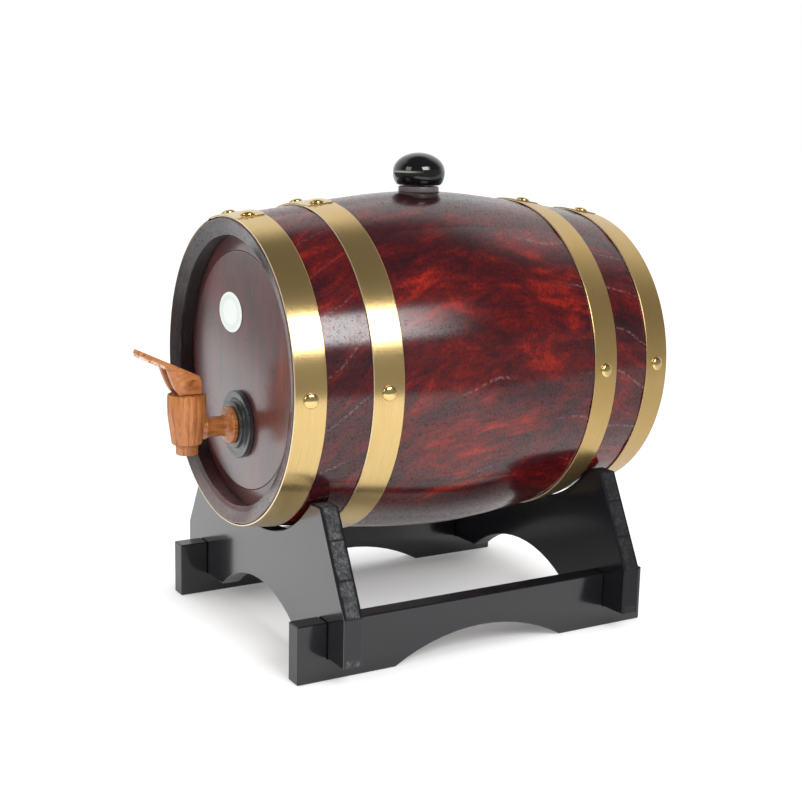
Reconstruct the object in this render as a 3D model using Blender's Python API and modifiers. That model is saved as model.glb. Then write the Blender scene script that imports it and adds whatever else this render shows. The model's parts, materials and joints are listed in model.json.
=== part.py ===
# Oak cask dispenser: a small hooped cask on a slotted stand, with a bung on top and a lever tap.
# Metres, +Z up. The cask's axis runs along Y and the tap looks towards -Y.

import math

import bmesh
import bpy
from mathutils import Matrix, Vector

# Fits
GAP = 0.0003                      # between pieces that touch or slide
OVERRUN = 0.006                   # how far a cutter runs past what it cuts

# Cask
CASK_LENGTH = 0.264
CASK_END_DIAMETER = 0.184
CASK_BELLY_DIAMETER = 0.214
BELLY_ROUNDNESS_SHARE = 0.30      # small is a pointed belly, large a plain arc
CASK_AXIS_HEIGHT = 0.1660         # above the floor
STAVE_COUNT = 16
STAVE_THICKNESS = 0.0108
CHIME_BEVEL = 0.0012              # on the staves' end edges
CHIME_SLOPE = 0.0033              # the staves' ends lean in by this towards the head
CASK_SHIFT = 0.0047               # the cask's middle behind the stand's middle

# Heads
HEAD_THICKNESS = 0.0130
HEAD_RECESS = 0.0097              # from the staves' ends to the raised field
HEAD_BORDER_WIDTH = 0.0112        # sloped border round the raised field
HEAD_BORDER_DROP = 0.0034
HEAD_TONGUE_THICKNESS = 0.0045    # the edge that sits in the staves' groove
HEAD_BACK_BEVEL = 0.0080
CROZE_DEPTH = 0.0030              # the groove in the staves

# Hoops
HOOP_WIDTH = 0.0185
HOOP_THICKNESS = 0.0006
OUTER_HOOP_SETBACK = 0.0004       # behind the staves' ends
HOOP_SPACING = 0.0457             # outer hoop's middle to inner hoop's middle
HOOP_LAP = 0.0390                 # how far a hoop's ends overlap
LAP_RIVET_EDGE = 0.0056           # first rivet to the lap's end
LAP_RIVET_PITCH = 0.0275
LAP_STEP = 0.0050                 # length of the joggle where the strip climbs onto itself
RIVET_HEAD_DIAMETER = 0.0088
RIVET_HEAD_HEIGHT = 0.0020
RIVET_SHANK_DIAMETER = 0.0030
NAIL_LENGTH = 0.0075

# Label
LABEL_WIDTH = 0.0330
LABEL_HEIGHT = 0.0245
LABEL_THICKNESS = 0.0004
LABEL_RISE = 0.0338               # above the cask's axis
LABEL_OFFSET = 0.0137             # to the side of it

# Bung
BUNG_HOLE_DIAMETER = 0.0220
BUNG_SEAT_DEPTH = 0.0011          # flat seat cut into the crown of the top stave
STOPPER_FLANGE_DIAMETER = 0.0256
STOPPER_FLANGE_THICKNESS = 0.0038
STOPPER_DIAMETER = 0.0200         # its plug, at the top
STOPPER_TAPER = 0.0016            # narrower by this at the bottom
STOPPER_LENGTH = 0.0160
STOPPER_RIB_HEIGHT = 0.0006
STOPPER_RIB_WIDTH = 0.0012
KNOB_DIAMETER = 0.0329
KNOB_HEIGHT = 0.0204
KNOB_FOOT_DIAMETER = 0.0250
KNOB_SEAM_DEPTH = 0.0005
KNOB_SEAM_WIDTH = 0.0008
KNOB_PEG_DIAMETER = 0.0080
KNOB_PEG_LENGTH = 0.0110

# Stand
BOARD_THICKNESS = 0.0120
RAIL_HEIGHT = 0.0350
RAIL_OVERHANG = 0.0188            # past the saddles' outer faces
RAIL_ARCH_SPAN = 0.1200
RAIL_ARCH_RISE = 0.0160
SADDLE_WIDTH = 0.2270
SADDLE_LIFT = 0.0133              # the saddles' lower edge above the floor
SADDLE_TAB = 0.0198               # past the rails' outer faces
SADDLE_SHOULDER_RISE = 0.0070     # the tabs' upper corners above the rails
SADDLE_ARCH_SPAN = 0.1110
SADDLE_ARCH_RISE = 0.0200
HORN_DROP = 0.0670                # the horns' tops below the cask's axis
HORN_WIDTH = 0.0122               # flat on top of each horn
SEAT_RELIEF = 0.0012              # under the cask, which rests on the horns

# Tap
TAP_DROP = 0.0328                 # its axis below the cask's axis
TAP_REACH = 0.0347                # from the head's field to the middle of the body
WASHER_DIAMETER = 0.0410
WASHER_THICKNESS = 0.0033
WASHER_STEP_DIAMETER = 0.0290
WASHER_STEP_HEIGHT = 0.0024
COLLAR_DIAMETER = 0.0228
COLLAR_THICKNESS = 0.0034
PIPE_DIAMETER = 0.0120
SHANK_DIAMETER = 0.0140
SHANK_BORE = 0.0076
SHANK_TAIL = 0.0022               # past the nut
NUT_WIDTH = 0.0220                # across its flats
NUT_THICKNESS = 0.0070
INNER_WASHER_DIAMETER = 0.0240
INNER_WASHER_THICKNESS = 0.0020
BARREL_DIAMETER = 0.0231
BARREL_RISE = 0.0211              # its top above the pipe's axis
BARREL_DROP = 0.0088              # its lower edge below it
BARREL_SHAPE_SHARES = ((0.0, 0.975), (0.02, 0.99), (0.2, 1.0), (0.38, 0.99), (0.66, 0.90), (0.97, 0.79), (1.0, 0.77))
FLUTE_COUNT = 14
FLUTE_DEPTH = 0.0004
NOZZLE_DIAMETER = 0.0132
NOZZLE_BORE = 0.0104
NOZZLE_LENGTH = 0.0065
NOZZLE_BEAD = 0.0003
CHAMBER_DIAMETER = 0.0140
SEAT_DROP = 0.0043                # the valve's seat below the pipe's axis
SEAT_BORE = 0.0072
SEAT_THICKNESS = 0.0022
BONNET_DIAMETER = 0.0174
BONNET_THICKNESS = 0.0050
BONNET_PROUD = 0.0004
STEM_DIAMETER = 0.0052
STEM_FLANGE_DIAMETER = 0.0108
STEM_FLANGE_THICKNESS = 0.0012
STEM_SPIGOT_DIAMETER = 0.0028
STEM_HEAD_SHARE = 0.55            # of the stem's width, flat on top of its bevelled head
SEAL_DIAMETER = 0.0112
SEAL_THICKNESS = 0.0027
SPRING_DIAMETER = 0.0084
SPRING_WIRE = 0.0008
SPRING_TURNS = 6
PIN_DIAMETER = 0.0020

# Lever
LEVER_WIDTH = 0.0160              # over its two cheeks
CHEEK_THICKNESS = 0.0038
LEVER_PIN_HEIGHT = 0.0066         # above the lever's lower edge
LEVER_CLEARANCE = 0.0005          # lower edge to the bonnet
CHEEK_FOOT_FRONT = 0.0078         # the cheeks' lower edge, before and behind the pin
CHEEK_FOOT_BACK = 0.0066
CHEEK_FRONT_REACH = 0.0153        # where the cheeks meet the paddle
CHEEK_BACK_ROUNDING = 0.0014
CHEEK_BOW = 0.0009                # the cheeks' front edges bulge forward
PADDLE_THICKNESS = 0.0027
PADDLE_WIDTH = 0.0172
PADDLE_REACH = 0.0323             # tip's foremost edge before the pin, at rest
PADDLE_RISE = 0.0217              # tip's upper face above the pin, at rest
PADDLE_SLOPE_DEG = 25.0
GRIP_DEPTH = 0.0016               # thicker front part of the paddle, below its plate
GRIP_INSET = 0.0003

# Places worked out from the sizes
END_RADIUS = CASK_END_DIAMETER / 2
BELLY_RADIUS = CASK_BELLY_DIAMETER / 2
HALF_LENGTH = CASK_LENGTH / 2
OUTER_HOOP_Y = HALF_LENGTH - OUTER_HOOP_SETBACK - HOOP_WIDTH / 2
INNER_HOOP_Y = OUTER_HOOP_Y - HOOP_SPACING
SADDLE_Y = (OUTER_HOOP_Y + INNER_HOOP_Y) / 2
HORN_HEIGHT = CASK_AXIS_HEIGHT - HORN_DROP
RAIL_X = SADDLE_WIDTH / 2 - SADDLE_TAB - BOARD_THICKNESS / 2
RAIL_LENGTH = 2 * (SADDLE_Y + BOARD_THICKNESS / 2 + RAIL_OVERHANG)
FIELD_Y = HALF_LENGTH - HEAD_RECESS
HEAD_RADIUS = END_RADIUS - STAVE_THICKNESS
TAP_Y = -FIELD_Y - TAP_REACH
BARREL_HEIGHT = BARREL_RISE + BARREL_DROP
BONNET_TOP = BARREL_RISE + BONNET_PROUD
PIN_Z = BONNET_TOP + LEVER_CLEARANCE + LEVER_PIN_HEIGHT
PADDLE_SLOPE = math.radians(PADDLE_SLOPE_DEG)
PADDLE_TIP = PADDLE_REACH - PADDLE_THICKNESS / 2 * math.sin(PADDLE_SLOPE)
PADDLE_OVER_PIN = PADDLE_RISE - PADDLE_REACH * math.tan(PADDLE_SLOPE)   # its upper face
TAP_Z = CASK_AXIS_HEIGHT - TAP_DROP
CENTRE_Y = (PADDLE_REACH - TAP_Y - HALF_LENGTH) / 2   # puts the whole object's middle over the origin
BUNG_SEAT_Z = BELLY_RADIUS - BUNG_SEAT_DEPTH          # above the cask's axis

# Colours: red, green, blue, then roughness and metallic value
FINISHES = {
    "mahogany_stain": ((0.16, 0.012, 0.010), 0.28, 0.0),
    "head_stain": ((0.19, 0.10, 0.09), 0.35, 0.0),
    "brushed_brass": ((0.62, 0.46, 0.19), 0.32, 1.0),
    "brass_rivet": ((0.70, 0.50, 0.18), 0.22, 1.0),
    "black_paint": ((0.018, 0.018, 0.020), 0.50, 0.0),
    "black_gloss": ((0.010, 0.010, 0.012), 0.10, 0.0),
    "grey_silicone": ((0.24, 0.20, 0.19), 0.40, 0.0),
    "wood_plastic": ((0.55, 0.22, 0.06), 0.38, 0.0),
    "black_rubber": ((0.030, 0.032, 0.033), 0.40, 0.0),
    "spring_steel": ((0.60, 0.60, 0.62), 0.25, 1.0),
    "pale_label": ((0.70, 0.82, 0.76), 0.45, 0.0),
}

for old in list(bpy.data.objects):
    bpy.data.objects.remove(old)

parts = bpy.data.collections.new("oak_cask_dispenser")
cutters = bpy.data.collections.new("cutters")
for collection in (parts, cutters):
    bpy.context.scene.collection.children.link(collection)


def finish(slot):
    # One Principled material for each finish, made when it is first used.
    found = bpy.data.materials.get(slot)
    if found:
        return found
    colour, roughness, metallic = FINISHES[slot]
    made = bpy.data.materials.new(slot)
    made.use_nodes = True
    shader = made.node_tree.nodes["Principled BSDF"]
    shader.inputs["Base Color"].default_value = (*colour, 1)
    shader.inputs["Roughness"].default_value = roughness
    shader.inputs["Metallic"].default_value = metallic
    made.diffuse_color = (*colour, 1)
    return made


def anchor(name, place, parent=None):
    # An empty that carries the pieces of one moving body.
    empty = bpy.data.objects.new(name, None)
    parts.objects.link(empty)
    empty.parent = parent
    empty.location = place
    return empty


def part(name, mesh, slot, parent, place=(0, 0, 0), turn=(0, 0, 0)):
    made = bpy.data.objects.new(name, mesh)
    parts.objects.link(made)
    if not mesh.materials:
        mesh.materials.append(finish(slot))
    made.parent = parent
    made.location = place
    made.rotation_euler = turn
    return made


def cutter(name, mesh, parent, place=(0, 0, 0), turn=(0, 0, 0)):
    made = bpy.data.objects.new(name, mesh)
    cutters.objects.link(made)
    made.hide_render = True
    made.display_type = "WIRE"
    made.parent = parent
    made.location = place
    made.rotation_euler = turn
    return made


def boolean(target, tool, operation="DIFFERENCE"):
    step = target.modifiers.new(f"{operation.lower()} {tool.name}", "BOOLEAN")
    step.operation = operation
    step.object = tool


def smooth(mesh, degrees=35):
    mesh.shade_smooth()
    mesh.set_sharp_from_angle(angle=math.radians(degrees))


def profile_mesh(name, points, closed):
    # A profile in the XZ plane: x is the radius, z the height.
    mesh = bpy.data.meshes.new(name)
    edges = [(i, i + 1) for i in range(len(points) - 1)]
    if closed:
        edges.append((len(points) - 1, 0))
    mesh.from_pydata([(r, 0, z) for r, z in points], edges, [])
    return mesh


def screw(target, steps):
    step = target.modifiers.new("screw", "SCREW")
    step.steps = steps
    step.render_steps = steps
    step.use_merge_vertices = True
    step.merge_threshold = 0.00001
    step.use_smooth_shade = True


def turned(name, points, slot, parent, place=(0, 0, 0), turn=(0, 0, 0), steps=32, closed=False):
    made = part(name, profile_mesh(name, points, closed), slot, parent, place, turn)
    screw(made, steps)
    return made


def turned_cutter(name, points, parent, place=(0, 0, 0), turn=(0, 0, 0), steps=24):
    made = cutter(name, profile_mesh(name, points, False), parent, place, turn)
    screw(made, steps)
    return made


def rod_points(radius, low, high):
    # A plain cylinder's profile, run down its outer side.
    return [(0, high), (radius, high), (radius, low), (0, low)]


def tube_points(outer, inner, low, high):
    # A washer's or a bush's closed profile.
    return [(inner, high), (outer, high), (outer, low), (inner, low)]


def prism(name, outline, thickness):
    # A flat outline in local XY, centred on its thickness along local Z, as one closed mesh.
    curve = bpy.data.curves.new(name, "CURVE")
    curve.dimensions = "2D"
    curve.fill_mode = "BOTH"
    curve.extrude = thickness / 2
    spline = curve.splines.new("POLY")
    spline.points.add(len(outline) - 1)
    for point, (x, y) in zip(spline.points, outline):
        point.co = (x, y, 0, 1)
    spline.use_cyclic_u = True
    made = bpy.data.objects.new(name, curve)
    parts.objects.link(made)
    bpy.context.view_layer.update()
    evaluated = made.evaluated_get(bpy.context.evaluated_depsgraph_get())
    mesh = bpy.data.meshes.new_from_object(evaluated)
    bpy.data.objects.remove(made)
    bpy.data.curves.remove(curve)
    form = bmesh.new()
    form.from_mesh(mesh)
    bmesh.ops.remove_doubles(form, verts=form.verts, dist=0.00001)
    form.to_mesh(mesh)
    form.free()
    mesh.name = name
    return mesh


def arc(centre, radius, start, end, count):
    # Points on a circle in a plane, from one angle to another.
    steps = [start + (end - start) * i / count for i in range(count + 1)]
    return [(centre[0] + radius * math.cos(a), centre[1] + radius * math.sin(a)) for a in steps]


def segment_arch(span, rise, base, count):
    # An arch cut up into a board: points from its right foot over the top to its left foot.
    radius = (span * span / 4 + rise * rise) / (2 * rise)
    half = math.asin(span / 2 / radius)
    right = math.pi / 2 - half
    return arc((0, base + rise - radius), radius, right, math.pi - right, count)


def cask_radius(y):
    # Outer radius of the staves at a distance y from the cask's middle.
    t = y / HALF_LENGTH
    c = BELLY_ROUNDNESS_SHARE
    drop_share = (math.sqrt(t * t + c * c) - c) / (math.sqrt(1 + c * c) - c)
    return BELLY_RADIUS - (BELLY_RADIUS - END_RADIUS) * drop_share


def polar(radius, degrees):
    # A point in the cask's cross-section, counted from +X towards +Z.
    return radius * math.cos(math.radians(degrees)), radius * math.sin(math.radians(degrees))


def head_levels():
    # Distances from the cask's middle: the border's edge, the tongue's back and the head's back.
    border = FIELD_Y - HEAD_BORDER_DROP
    return border, border - HEAD_TONGUE_THICKNESS, FIELD_Y - HEAD_THICKNESS


def stave_outline():
    # Radius and place along the cask: the outer curve one way, the inner curve and grooves back.
    count = 14
    ys = [-HALF_LENGTH + CASK_LENGTH * i / count for i in range(1, count)]
    rim = HALF_LENGTH - CHIME_BEVEL
    outer = [(END_RADIUS - CHIME_BEVEL, -HALF_LENGTH), (cask_radius(rim), -rim)]
    outer += [(cask_radius(y), y) for y in ys]
    outer += [(cask_radius(rim), rim), (END_RADIUS - CHIME_BEVEL, HALF_LENGTH)]
    border, tongue, _ = head_levels()
    wall = STAVE_THICKNESS
    groove = (
        (cask_radius(border + GAP) - wall, border + GAP),
        (cask_radius(border + GAP) - wall + CROZE_DEPTH, border + GAP),
        (cask_radius(border + GAP) - wall + CROZE_DEPTH, tongue - GAP),
        (cask_radius(tongue - GAP) - wall, tongue - GAP),
    )
    lip = HALF_LENGTH - CHIME_SLOPE
    inner = [(HEAD_RADIUS + CHIME_BEVEL, lip), (HEAD_RADIUS, lip - CHIME_BEVEL)]
    inner += groove
    inner += [(cask_radius(y) - wall, y) for y in reversed(ys[2:-2])]
    inner += [(r, -y) for r, y in reversed(groove)]
    inner += [(HEAD_RADIUS, CHIME_BEVEL - lip), (HEAD_RADIUS + CHIME_BEVEL, -lip)]
    return outer + inner


def stave_mesh():
    # The outline spun through one stave's share of the circle, its middle at +X.
    whole = 2 * math.pi / STAVE_COUNT - GAP / HEAD_RADIUS
    form = bmesh.new()
    points = []
    for radius, y in stave_outline():
        points.append(form.verts.new((radius * math.cos(whole / 2), y, radius * math.sin(whole / 2))))
    face = form.faces.new(points)
    geometry = [face, *face.edges, *face.verts]
    bmesh.ops.spin(form, geom=geometry, cent=(0, 0, 0), axis=(0, 1, 0), angle=whole, steps=3)
    bmesh.ops.recalc_face_normals(form, faces=form.faces)
    mesh = bpy.data.meshes.new("stave")
    form.to_mesh(mesh)
    form.free()
    smooth(mesh)
    return mesh


def make_staves(cask):
    # Stave 1 is at the top and carries the bung hole.
    mesh = stave_mesh()
    staves = {}
    for index in range(STAVE_COUNT):
        degrees = 90 - 360 * index / STAVE_COUNT
        name = "bung_stave" if index == 0 else f"stave_{index + 1:02d}"
        staves[round(degrees) % 360] = part(
            name, mesh, "mahogany_stain", cask, turn=(0, -math.radians(degrees), 0)
        )
    top = staves[90]
    hole = turned_cutter(
        "bung_hole_cutter",
        rod_points(BUNG_HOLE_DIAMETER / 2, BUNG_SEAT_Z - STAVE_THICKNESS - OVERRUN, BUNG_SEAT_Z + OVERRUN),
        cask,
    )
    seat = turned_cutter(
        "bung_seat_cutter",
        rod_points(STOPPER_FLANGE_DIAMETER / 2 + 2 * GAP, BUNG_SEAT_Z, BUNG_SEAT_Z + OVERRUN),
        cask,
    )
    boolean(top, hole)
    boolean(top, seat)
    return staves


def head_points():
    # A head's profile: x is its radius, z points out of the cask.
    border, tongue, back = head_levels()
    edge = cask_radius(border) - STAVE_THICKNESS
    reach = edge + CROZE_DEPTH - GAP
    return [
        (0, FIELD_Y),
        (edge - HEAD_BORDER_WIDTH, FIELD_Y),
        (edge - 2 * GAP, border),
        (reach, border),
        (reach, tongue),
        (edge - 2 * GAP, tongue),
        (edge - HEAD_BACK_BEVEL, back),
        (0, back),
    ]


def make_heads(cask):
    quarter = math.pi / 2
    front = turned("front_head", head_points(), "head_stain", cask, turn=(quarter, 0, 0), steps=48)
    turned("rear_head", head_points(), "head_stain", cask, turn=(-quarter, 0, 0), steps=48)
    hole = turned_cutter(
        "tap_hole_cutter",
        rod_points(SHANK_DIAMETER / 2 + GAP, FIELD_Y - HEAD_THICKNESS - OVERRUN, FIELD_Y + OVERRUN),
        cask,
        place=(0, 0, -TAP_DROP),
        turn=(quarter, 0, 0),
    )
    boolean(front, hole)


# Each hoop: its name, its middle along the cask, the angle of its visible end and that of its right nail.
HOOPS = (
    ("front_outer_hoop", -OUTER_HOOP_Y, 80.5, -1.2),
    ("front_inner_hoop", -INNER_HOOP_Y, 82.0, 0.0),
    ("rear_inner_hoop", INNER_HOOP_Y, 83.5, 1.5),
    ("rear_outer_hoop", OUTER_HOOP_Y, 81.0, 1.7),
)
HOOP_STEPS = 60


def hoop_radius(y):
    # The strip's inner face, just clear of the staves' corners.
    return cask_radius(y) + GAP


def hoop_mesh(name, middle, end_degrees):
    # A strip that starts under its own far end and goes once round the cask.
    radius = hoop_radius(middle)
    end = math.radians(end_degrees)
    start = end + HOOP_LAP / radius
    whole = 2 * math.pi + HOOP_LAP / radius
    climb_to = whole - (HOOP_LAP + GAP) / radius
    climb_from = climb_to - LAP_STEP / radius
    turns = [climb_from * i / HOOP_STEPS for i in range(HOOP_STEPS + 1)]
    turns += [climb_to + (whole - climb_to) * i / 4 for i in range(5)]
    form = bmesh.new()
    rows = []
    for turn in turns:
        climb = HOOP_THICKNESS + GAP if turn >= climb_to else 0
        row = []
        for y in (middle - HOOP_WIDTH / 2, middle + HOOP_WIDTH / 2):
            r = hoop_radius(y) + climb
            row.append(form.verts.new((r * math.cos(start - turn), y, r * math.sin(start - turn))))
        rows.append(row)
    for (a, b), (c, d) in zip(rows, rows[1:]):
        form.faces.new((a, c, d, b))
    mesh = bpy.data.meshes.new(name)
    form.to_mesh(mesh)
    form.free()
    mesh.shade_smooth()
    return mesh


def hoop_seat(middle, degrees, lift):
    # Where a rivet's head sits on a hoop: its place and its outward direction.
    y0, y1 = middle - HOOP_WIDTH / 2, middle + HOOP_WIDTH / 2
    slope = math.atan2(hoop_radius(y0) - hoop_radius(y1), HOOP_WIDTH)
    radius = (hoop_radius(y0) + hoop_radius(y1)) / 2 + lift
    x, z = polar(radius, degrees)
    outward = Vector((*polar(math.cos(slope), degrees), 0))
    direction = Vector((outward.x, math.sin(slope), outward.y))
    return Vector((x, middle, z)), direction


def rivet_points(length):
    # A domed head above z = 0 and a plain shank below it.
    radius, height = RIVET_HEAD_DIAMETER / 2, RIVET_HEAD_HEIGHT
    dome = [(radius * math.sin(a), height * math.cos(a)) for a in (i * math.pi / 8 for i in range(4))]
    shank = RIVET_SHANK_DIAMETER / 2
    return dome + [(radius, GAP), (shank, GAP), (shank, -length), (0, -length)]


def place_rivet(name, hoop, cask, seat, direction, length):
    turn = direction.to_track_quat("Z", "Y").to_euler()
    turned(name, rivet_points(length), "brass_rivet", cask, place=seat, turn=turn, steps=10)
    hole = turned_cutter(
        f"{name}_hole_cutter",
        rod_points(RIVET_SHANK_DIAMETER / 2 + GAP, -length - GAP, OVERRUN / 2),
        cask,
        place=seat,
        turn=turn,
        steps=10,
    )
    boolean(hoop, hole)
    return hole


def make_hoops(cask, staves):
    for name, middle, end_degrees, nail_degrees in HOOPS:
        hoop = part(name, hoop_mesh(name, middle, end_degrees), "brushed_brass", cask)
        shell = hoop.modifiers.new("thickness", "SOLIDIFY")
        shell.thickness = HOOP_THICKNESS
        shell.offset = 1.0
        lift = 2 * HOOP_THICKNESS + GAP
        step = math.degrees(1 / hoop_radius(middle))
        for number in (1, 2):
            along = LAP_RIVET_EDGE + LAP_RIVET_PITCH * (number - 1)
            seat, direction = hoop_seat(middle, end_degrees + along * step, lift)
            place_rivet(f"{name}_rivet_{number}", hoop, cask, seat, direction, lift)
        for side, stave, degrees in (("right", 0, nail_degrees), ("left", 180, 180 - nail_degrees)):
            seat, direction = hoop_seat(middle, degrees, HOOP_THICKNESS)
            nail = f"{name}_{side}_nail"
            hole = place_rivet(nail, hoop, cask, seat, direction, NAIL_LENGTH)
            boolean(staves[stave], hole)


def make_label(cask):
    # An oval card on the front head.
    form = bmesh.new()
    size = Matrix.Diagonal((LABEL_WIDTH / 2, LABEL_HEIGHT / 2, 1, 1))
    bmesh.ops.create_circle(form, cap_ends=True, segments=32, radius=1, matrix=size)
    mesh = bpy.data.meshes.new("label")
    form.to_mesh(mesh)
    form.free()
    place = (-LABEL_OFFSET, -FIELD_Y - GAP, LABEL_RISE)
    label = part("label", mesh, "pale_label", cask, place=place, turn=(math.pi / 2, 0, 0))
    card = label.modifiers.new("thickness", "SOLIDIFY")
    card.thickness = LABEL_THICKNESS
    card.offset = 1.0


def make_stand(root):
    make_saddles(root)
    for side, sign in (("right", 1), ("left", -1)):
        mesh = prism(f"{side}_rail", rail_outline(), BOARD_THICKNESS)
        turn = (math.pi / 2, 0, math.pi / 2)
        part(f"{side}_rail", mesh, "black_paint", root, place=(sign * RAIL_X, 0, 0), turn=turn)


def rail_outline():
    # Along the cask and up: an arch below, and a slot from above for each saddle.
    end = RAIL_LENGTH / 2
    slot = BOARD_THICKNESS / 2 + GAP
    floor = SADDLE_LIFT - GAP
    outline = segment_arch(RAIL_ARCH_SPAN, RAIL_ARCH_RISE, 0, 14)
    outline += [(-end, 0), (-end, RAIL_HEIGHT)]
    for middle in (-SADDLE_Y, SADDLE_Y):
        outline += [(middle - slot, RAIL_HEIGHT), (middle - slot, floor)]
        outline += [(middle + slot, floor), (middle + slot, RAIL_HEIGHT)]
    return outline + [(end, RAIL_HEIGHT), (end, 0)]


def horn_corner(side):
    # The horn's inner upper corner lies just clear of the cask at the saddle's inner face.
    radius = cask_radius(SADDLE_Y - side * CASK_SHIFT - BOARD_THICKNESS / 2) + GAP
    return math.sqrt(radius * radius - HORN_DROP * HORN_DROP), radius


def saddle_outline(side):
    # Across the cask and up.
    corner, seat_radius = horn_corner(side)
    bottom = CASK_AXIS_HEIGHT - seat_radius - SEAT_RELIEF
    rise = HORN_HEIGHT - bottom
    radius = (corner * corner + rise * rise) / (2 * rise)
    half = math.asin(corner / radius)
    wide = SADDLE_WIDTH / 2
    shoulder = RAIL_HEIGHT + SADDLE_SHOULDER_RISE
    outline = segment_arch(SADDLE_ARCH_SPAN, SADDLE_ARCH_RISE, SADDLE_LIFT, 14)
    outline += [(-wide, SADDLE_LIFT), (-wide, shoulder), (-corner - HORN_WIDTH, HORN_HEIGHT)]
    low = -math.pi / 2
    outline += arc((0, bottom + radius), radius, low - half, low + half, 24)
    return outline + [(corner + HORN_WIDTH, HORN_HEIGHT), (wide, shoulder), (wide, SADDLE_LIFT)]


def make_saddles(root):
    for side, sign in (("front", -1), ("rear", 1)):
        mesh = prism(f"{side}_saddle", saddle_outline(sign), BOARD_THICKNESS)
        place = (0, sign * SADDLE_Y, 0)
        part(f"{side}_saddle", mesh, "black_paint", root, place=place, turn=(math.pi / 2, 0, 0))


def stopper_points():
    # A silicone stopper: flange, tapered plug with two ribs, and a blind socket for the knob's peg.
    flange = STOPPER_FLANGE_DIAMETER / 2
    top = STOPPER_FLANGE_THICKNESS
    radius = STOPPER_DIAMETER / 2
    slope = STOPPER_TAPER / 2 / STOPPER_LENGTH
    peg = KNOB_PEG_DIAMETER / 2 + GAP
    points = [(0, top - KNOB_PEG_LENGTH - GAP), (peg, top - KNOB_PEG_LENGTH - GAP), (peg, top)]
    points += [(flange, top), (flange, 0), (radius, 0)]
    for share in (0.35, 0.7):
        at = -STOPPER_LENGTH * share
        body = radius + slope * at
        points += [
            (body, at + STOPPER_RIB_WIDTH / 2),
            (body + STOPPER_RIB_HEIGHT, at),
            (body, at - STOPPER_RIB_WIDTH / 2),
        ]
    return points + [(radius - STOPPER_TAPER / 2, -STOPPER_LENGTH), (0, -STOPPER_LENGTH)]


def knob_points():
    # A turned knob: a low dome over a rounded skirt, with a seam line at its widest.
    radius, foot = KNOB_DIAMETER / 2, KNOB_FOOT_DIAMETER / 2
    skirt = KNOB_HEIGHT * 0.42
    dome = KNOB_HEIGHT - skirt
    points = []
    for i in range(8):
        a = math.radians(84) * i / 7
        points.append((radius * math.sin(a), skirt + dome * math.cos(a)))
    seam = KNOB_SEAM_WIDTH / 2
    points += [(radius, skirt + seam), (radius - KNOB_SEAM_DEPTH, skirt), (radius, skirt - seam)]
    for i in range(1, 5):
        a = math.pi / 2 * i / 4
        points.append((foot + (radius - foot) * math.cos(a), (skirt - seam) * (1 - math.sin(a))))
    peg = KNOB_PEG_DIAMETER / 2
    return points + [(peg, 0), (peg, -KNOB_PEG_LENGTH), (0, -KNOB_PEG_LENGTH)]


def make_bung(bung):
    turned("bung_stopper", stopper_points(), "grey_silicone", bung, place=(0, 0, GAP), steps=28)
    top = STOPPER_FLANGE_THICKNESS + 2 * GAP
    turned("bung_knob", knob_points(), "black_gloss", bung, place=(0, 0, top), steps=32)


def barrel_points():
    # The tap body's outside: a barrel, then a bead and the nozzle.
    radius = BARREL_DIAMETER / 2
    points = [(0, BARREL_RISE)]
    points += [(radius * r, BARREL_RISE - BARREL_HEIGHT * h) for h, r in BARREL_SHAPE_SHARES]
    nozzle = NOZZLE_DIAMETER / 2
    low = -BARREL_DROP
    bead = nozzle + NOZZLE_BEAD
    points += [(bead, low), (bead, low - 3 * NOZZLE_BEAD), (nozzle, low - 4 * NOZZLE_BEAD)]
    return points + [(nozzle, low - NOZZLE_LENGTH), (0, low - NOZZLE_LENGTH)]


def barrel_mesh():
    # Turned, then its flutes pressed in: every third line of points round the barrel moves inwards.
    steps = FLUTE_COUNT * 3
    blank = cutter("barrel_blank", profile_mesh("barrel_blank", barrel_points(), False), None)
    screw(blank, steps)
    bpy.context.view_layer.update()
    evaluated = blank.evaluated_get(bpy.context.evaluated_depsgraph_get())
    mesh = bpy.data.meshes.new_from_object(evaluated)
    bpy.data.objects.remove(blank)
    pitch = 2 * math.pi / FLUTE_COUNT
    for vertex in mesh.vertices:
        radius = math.hypot(vertex.co.x, vertex.co.y)
        turn = math.atan2(vertex.co.y, vertex.co.x) / pitch
        if radius > NOZZLE_DIAMETER / 2 + 2 * NOZZLE_BEAD and abs(turn - round(turn)) < 0.1:
            vertex.co.x *= (radius - FLUTE_DEPTH) / radius
            vertex.co.y *= (radius - FLUTE_DEPTH) / radius
    mesh.name = "tap_body"
    mesh.materials.clear()
    return mesh


def chamber_points():
    # What is hollow in the body: bonnet seat, valve chamber, seat hole and nozzle.
    chamber, seat, nozzle = CHAMBER_DIAMETER / 2, SEAT_BORE / 2, NOZZLE_BORE / 2
    bonnet = BONNET_DIAMETER / 2 + GAP
    ledge = BONNET_TOP - BONNET_THICKNESS - GAP
    low = -BARREL_DROP - NOZZLE_LENGTH - OVERRUN
    return [
        (0, BARREL_RISE + OVERRUN),
        (bonnet, BARREL_RISE + OVERRUN),
        (bonnet, ledge),
        (chamber, ledge),
        (chamber, -SEAT_DROP),
        (seat, -SEAT_DROP),
        (seat, -SEAT_DROP - SEAT_THICKNESS),
        (nozzle, -SEAT_DROP - SEAT_THICKNESS),
        (nozzle, low),
        (0, low),
    ]


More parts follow.
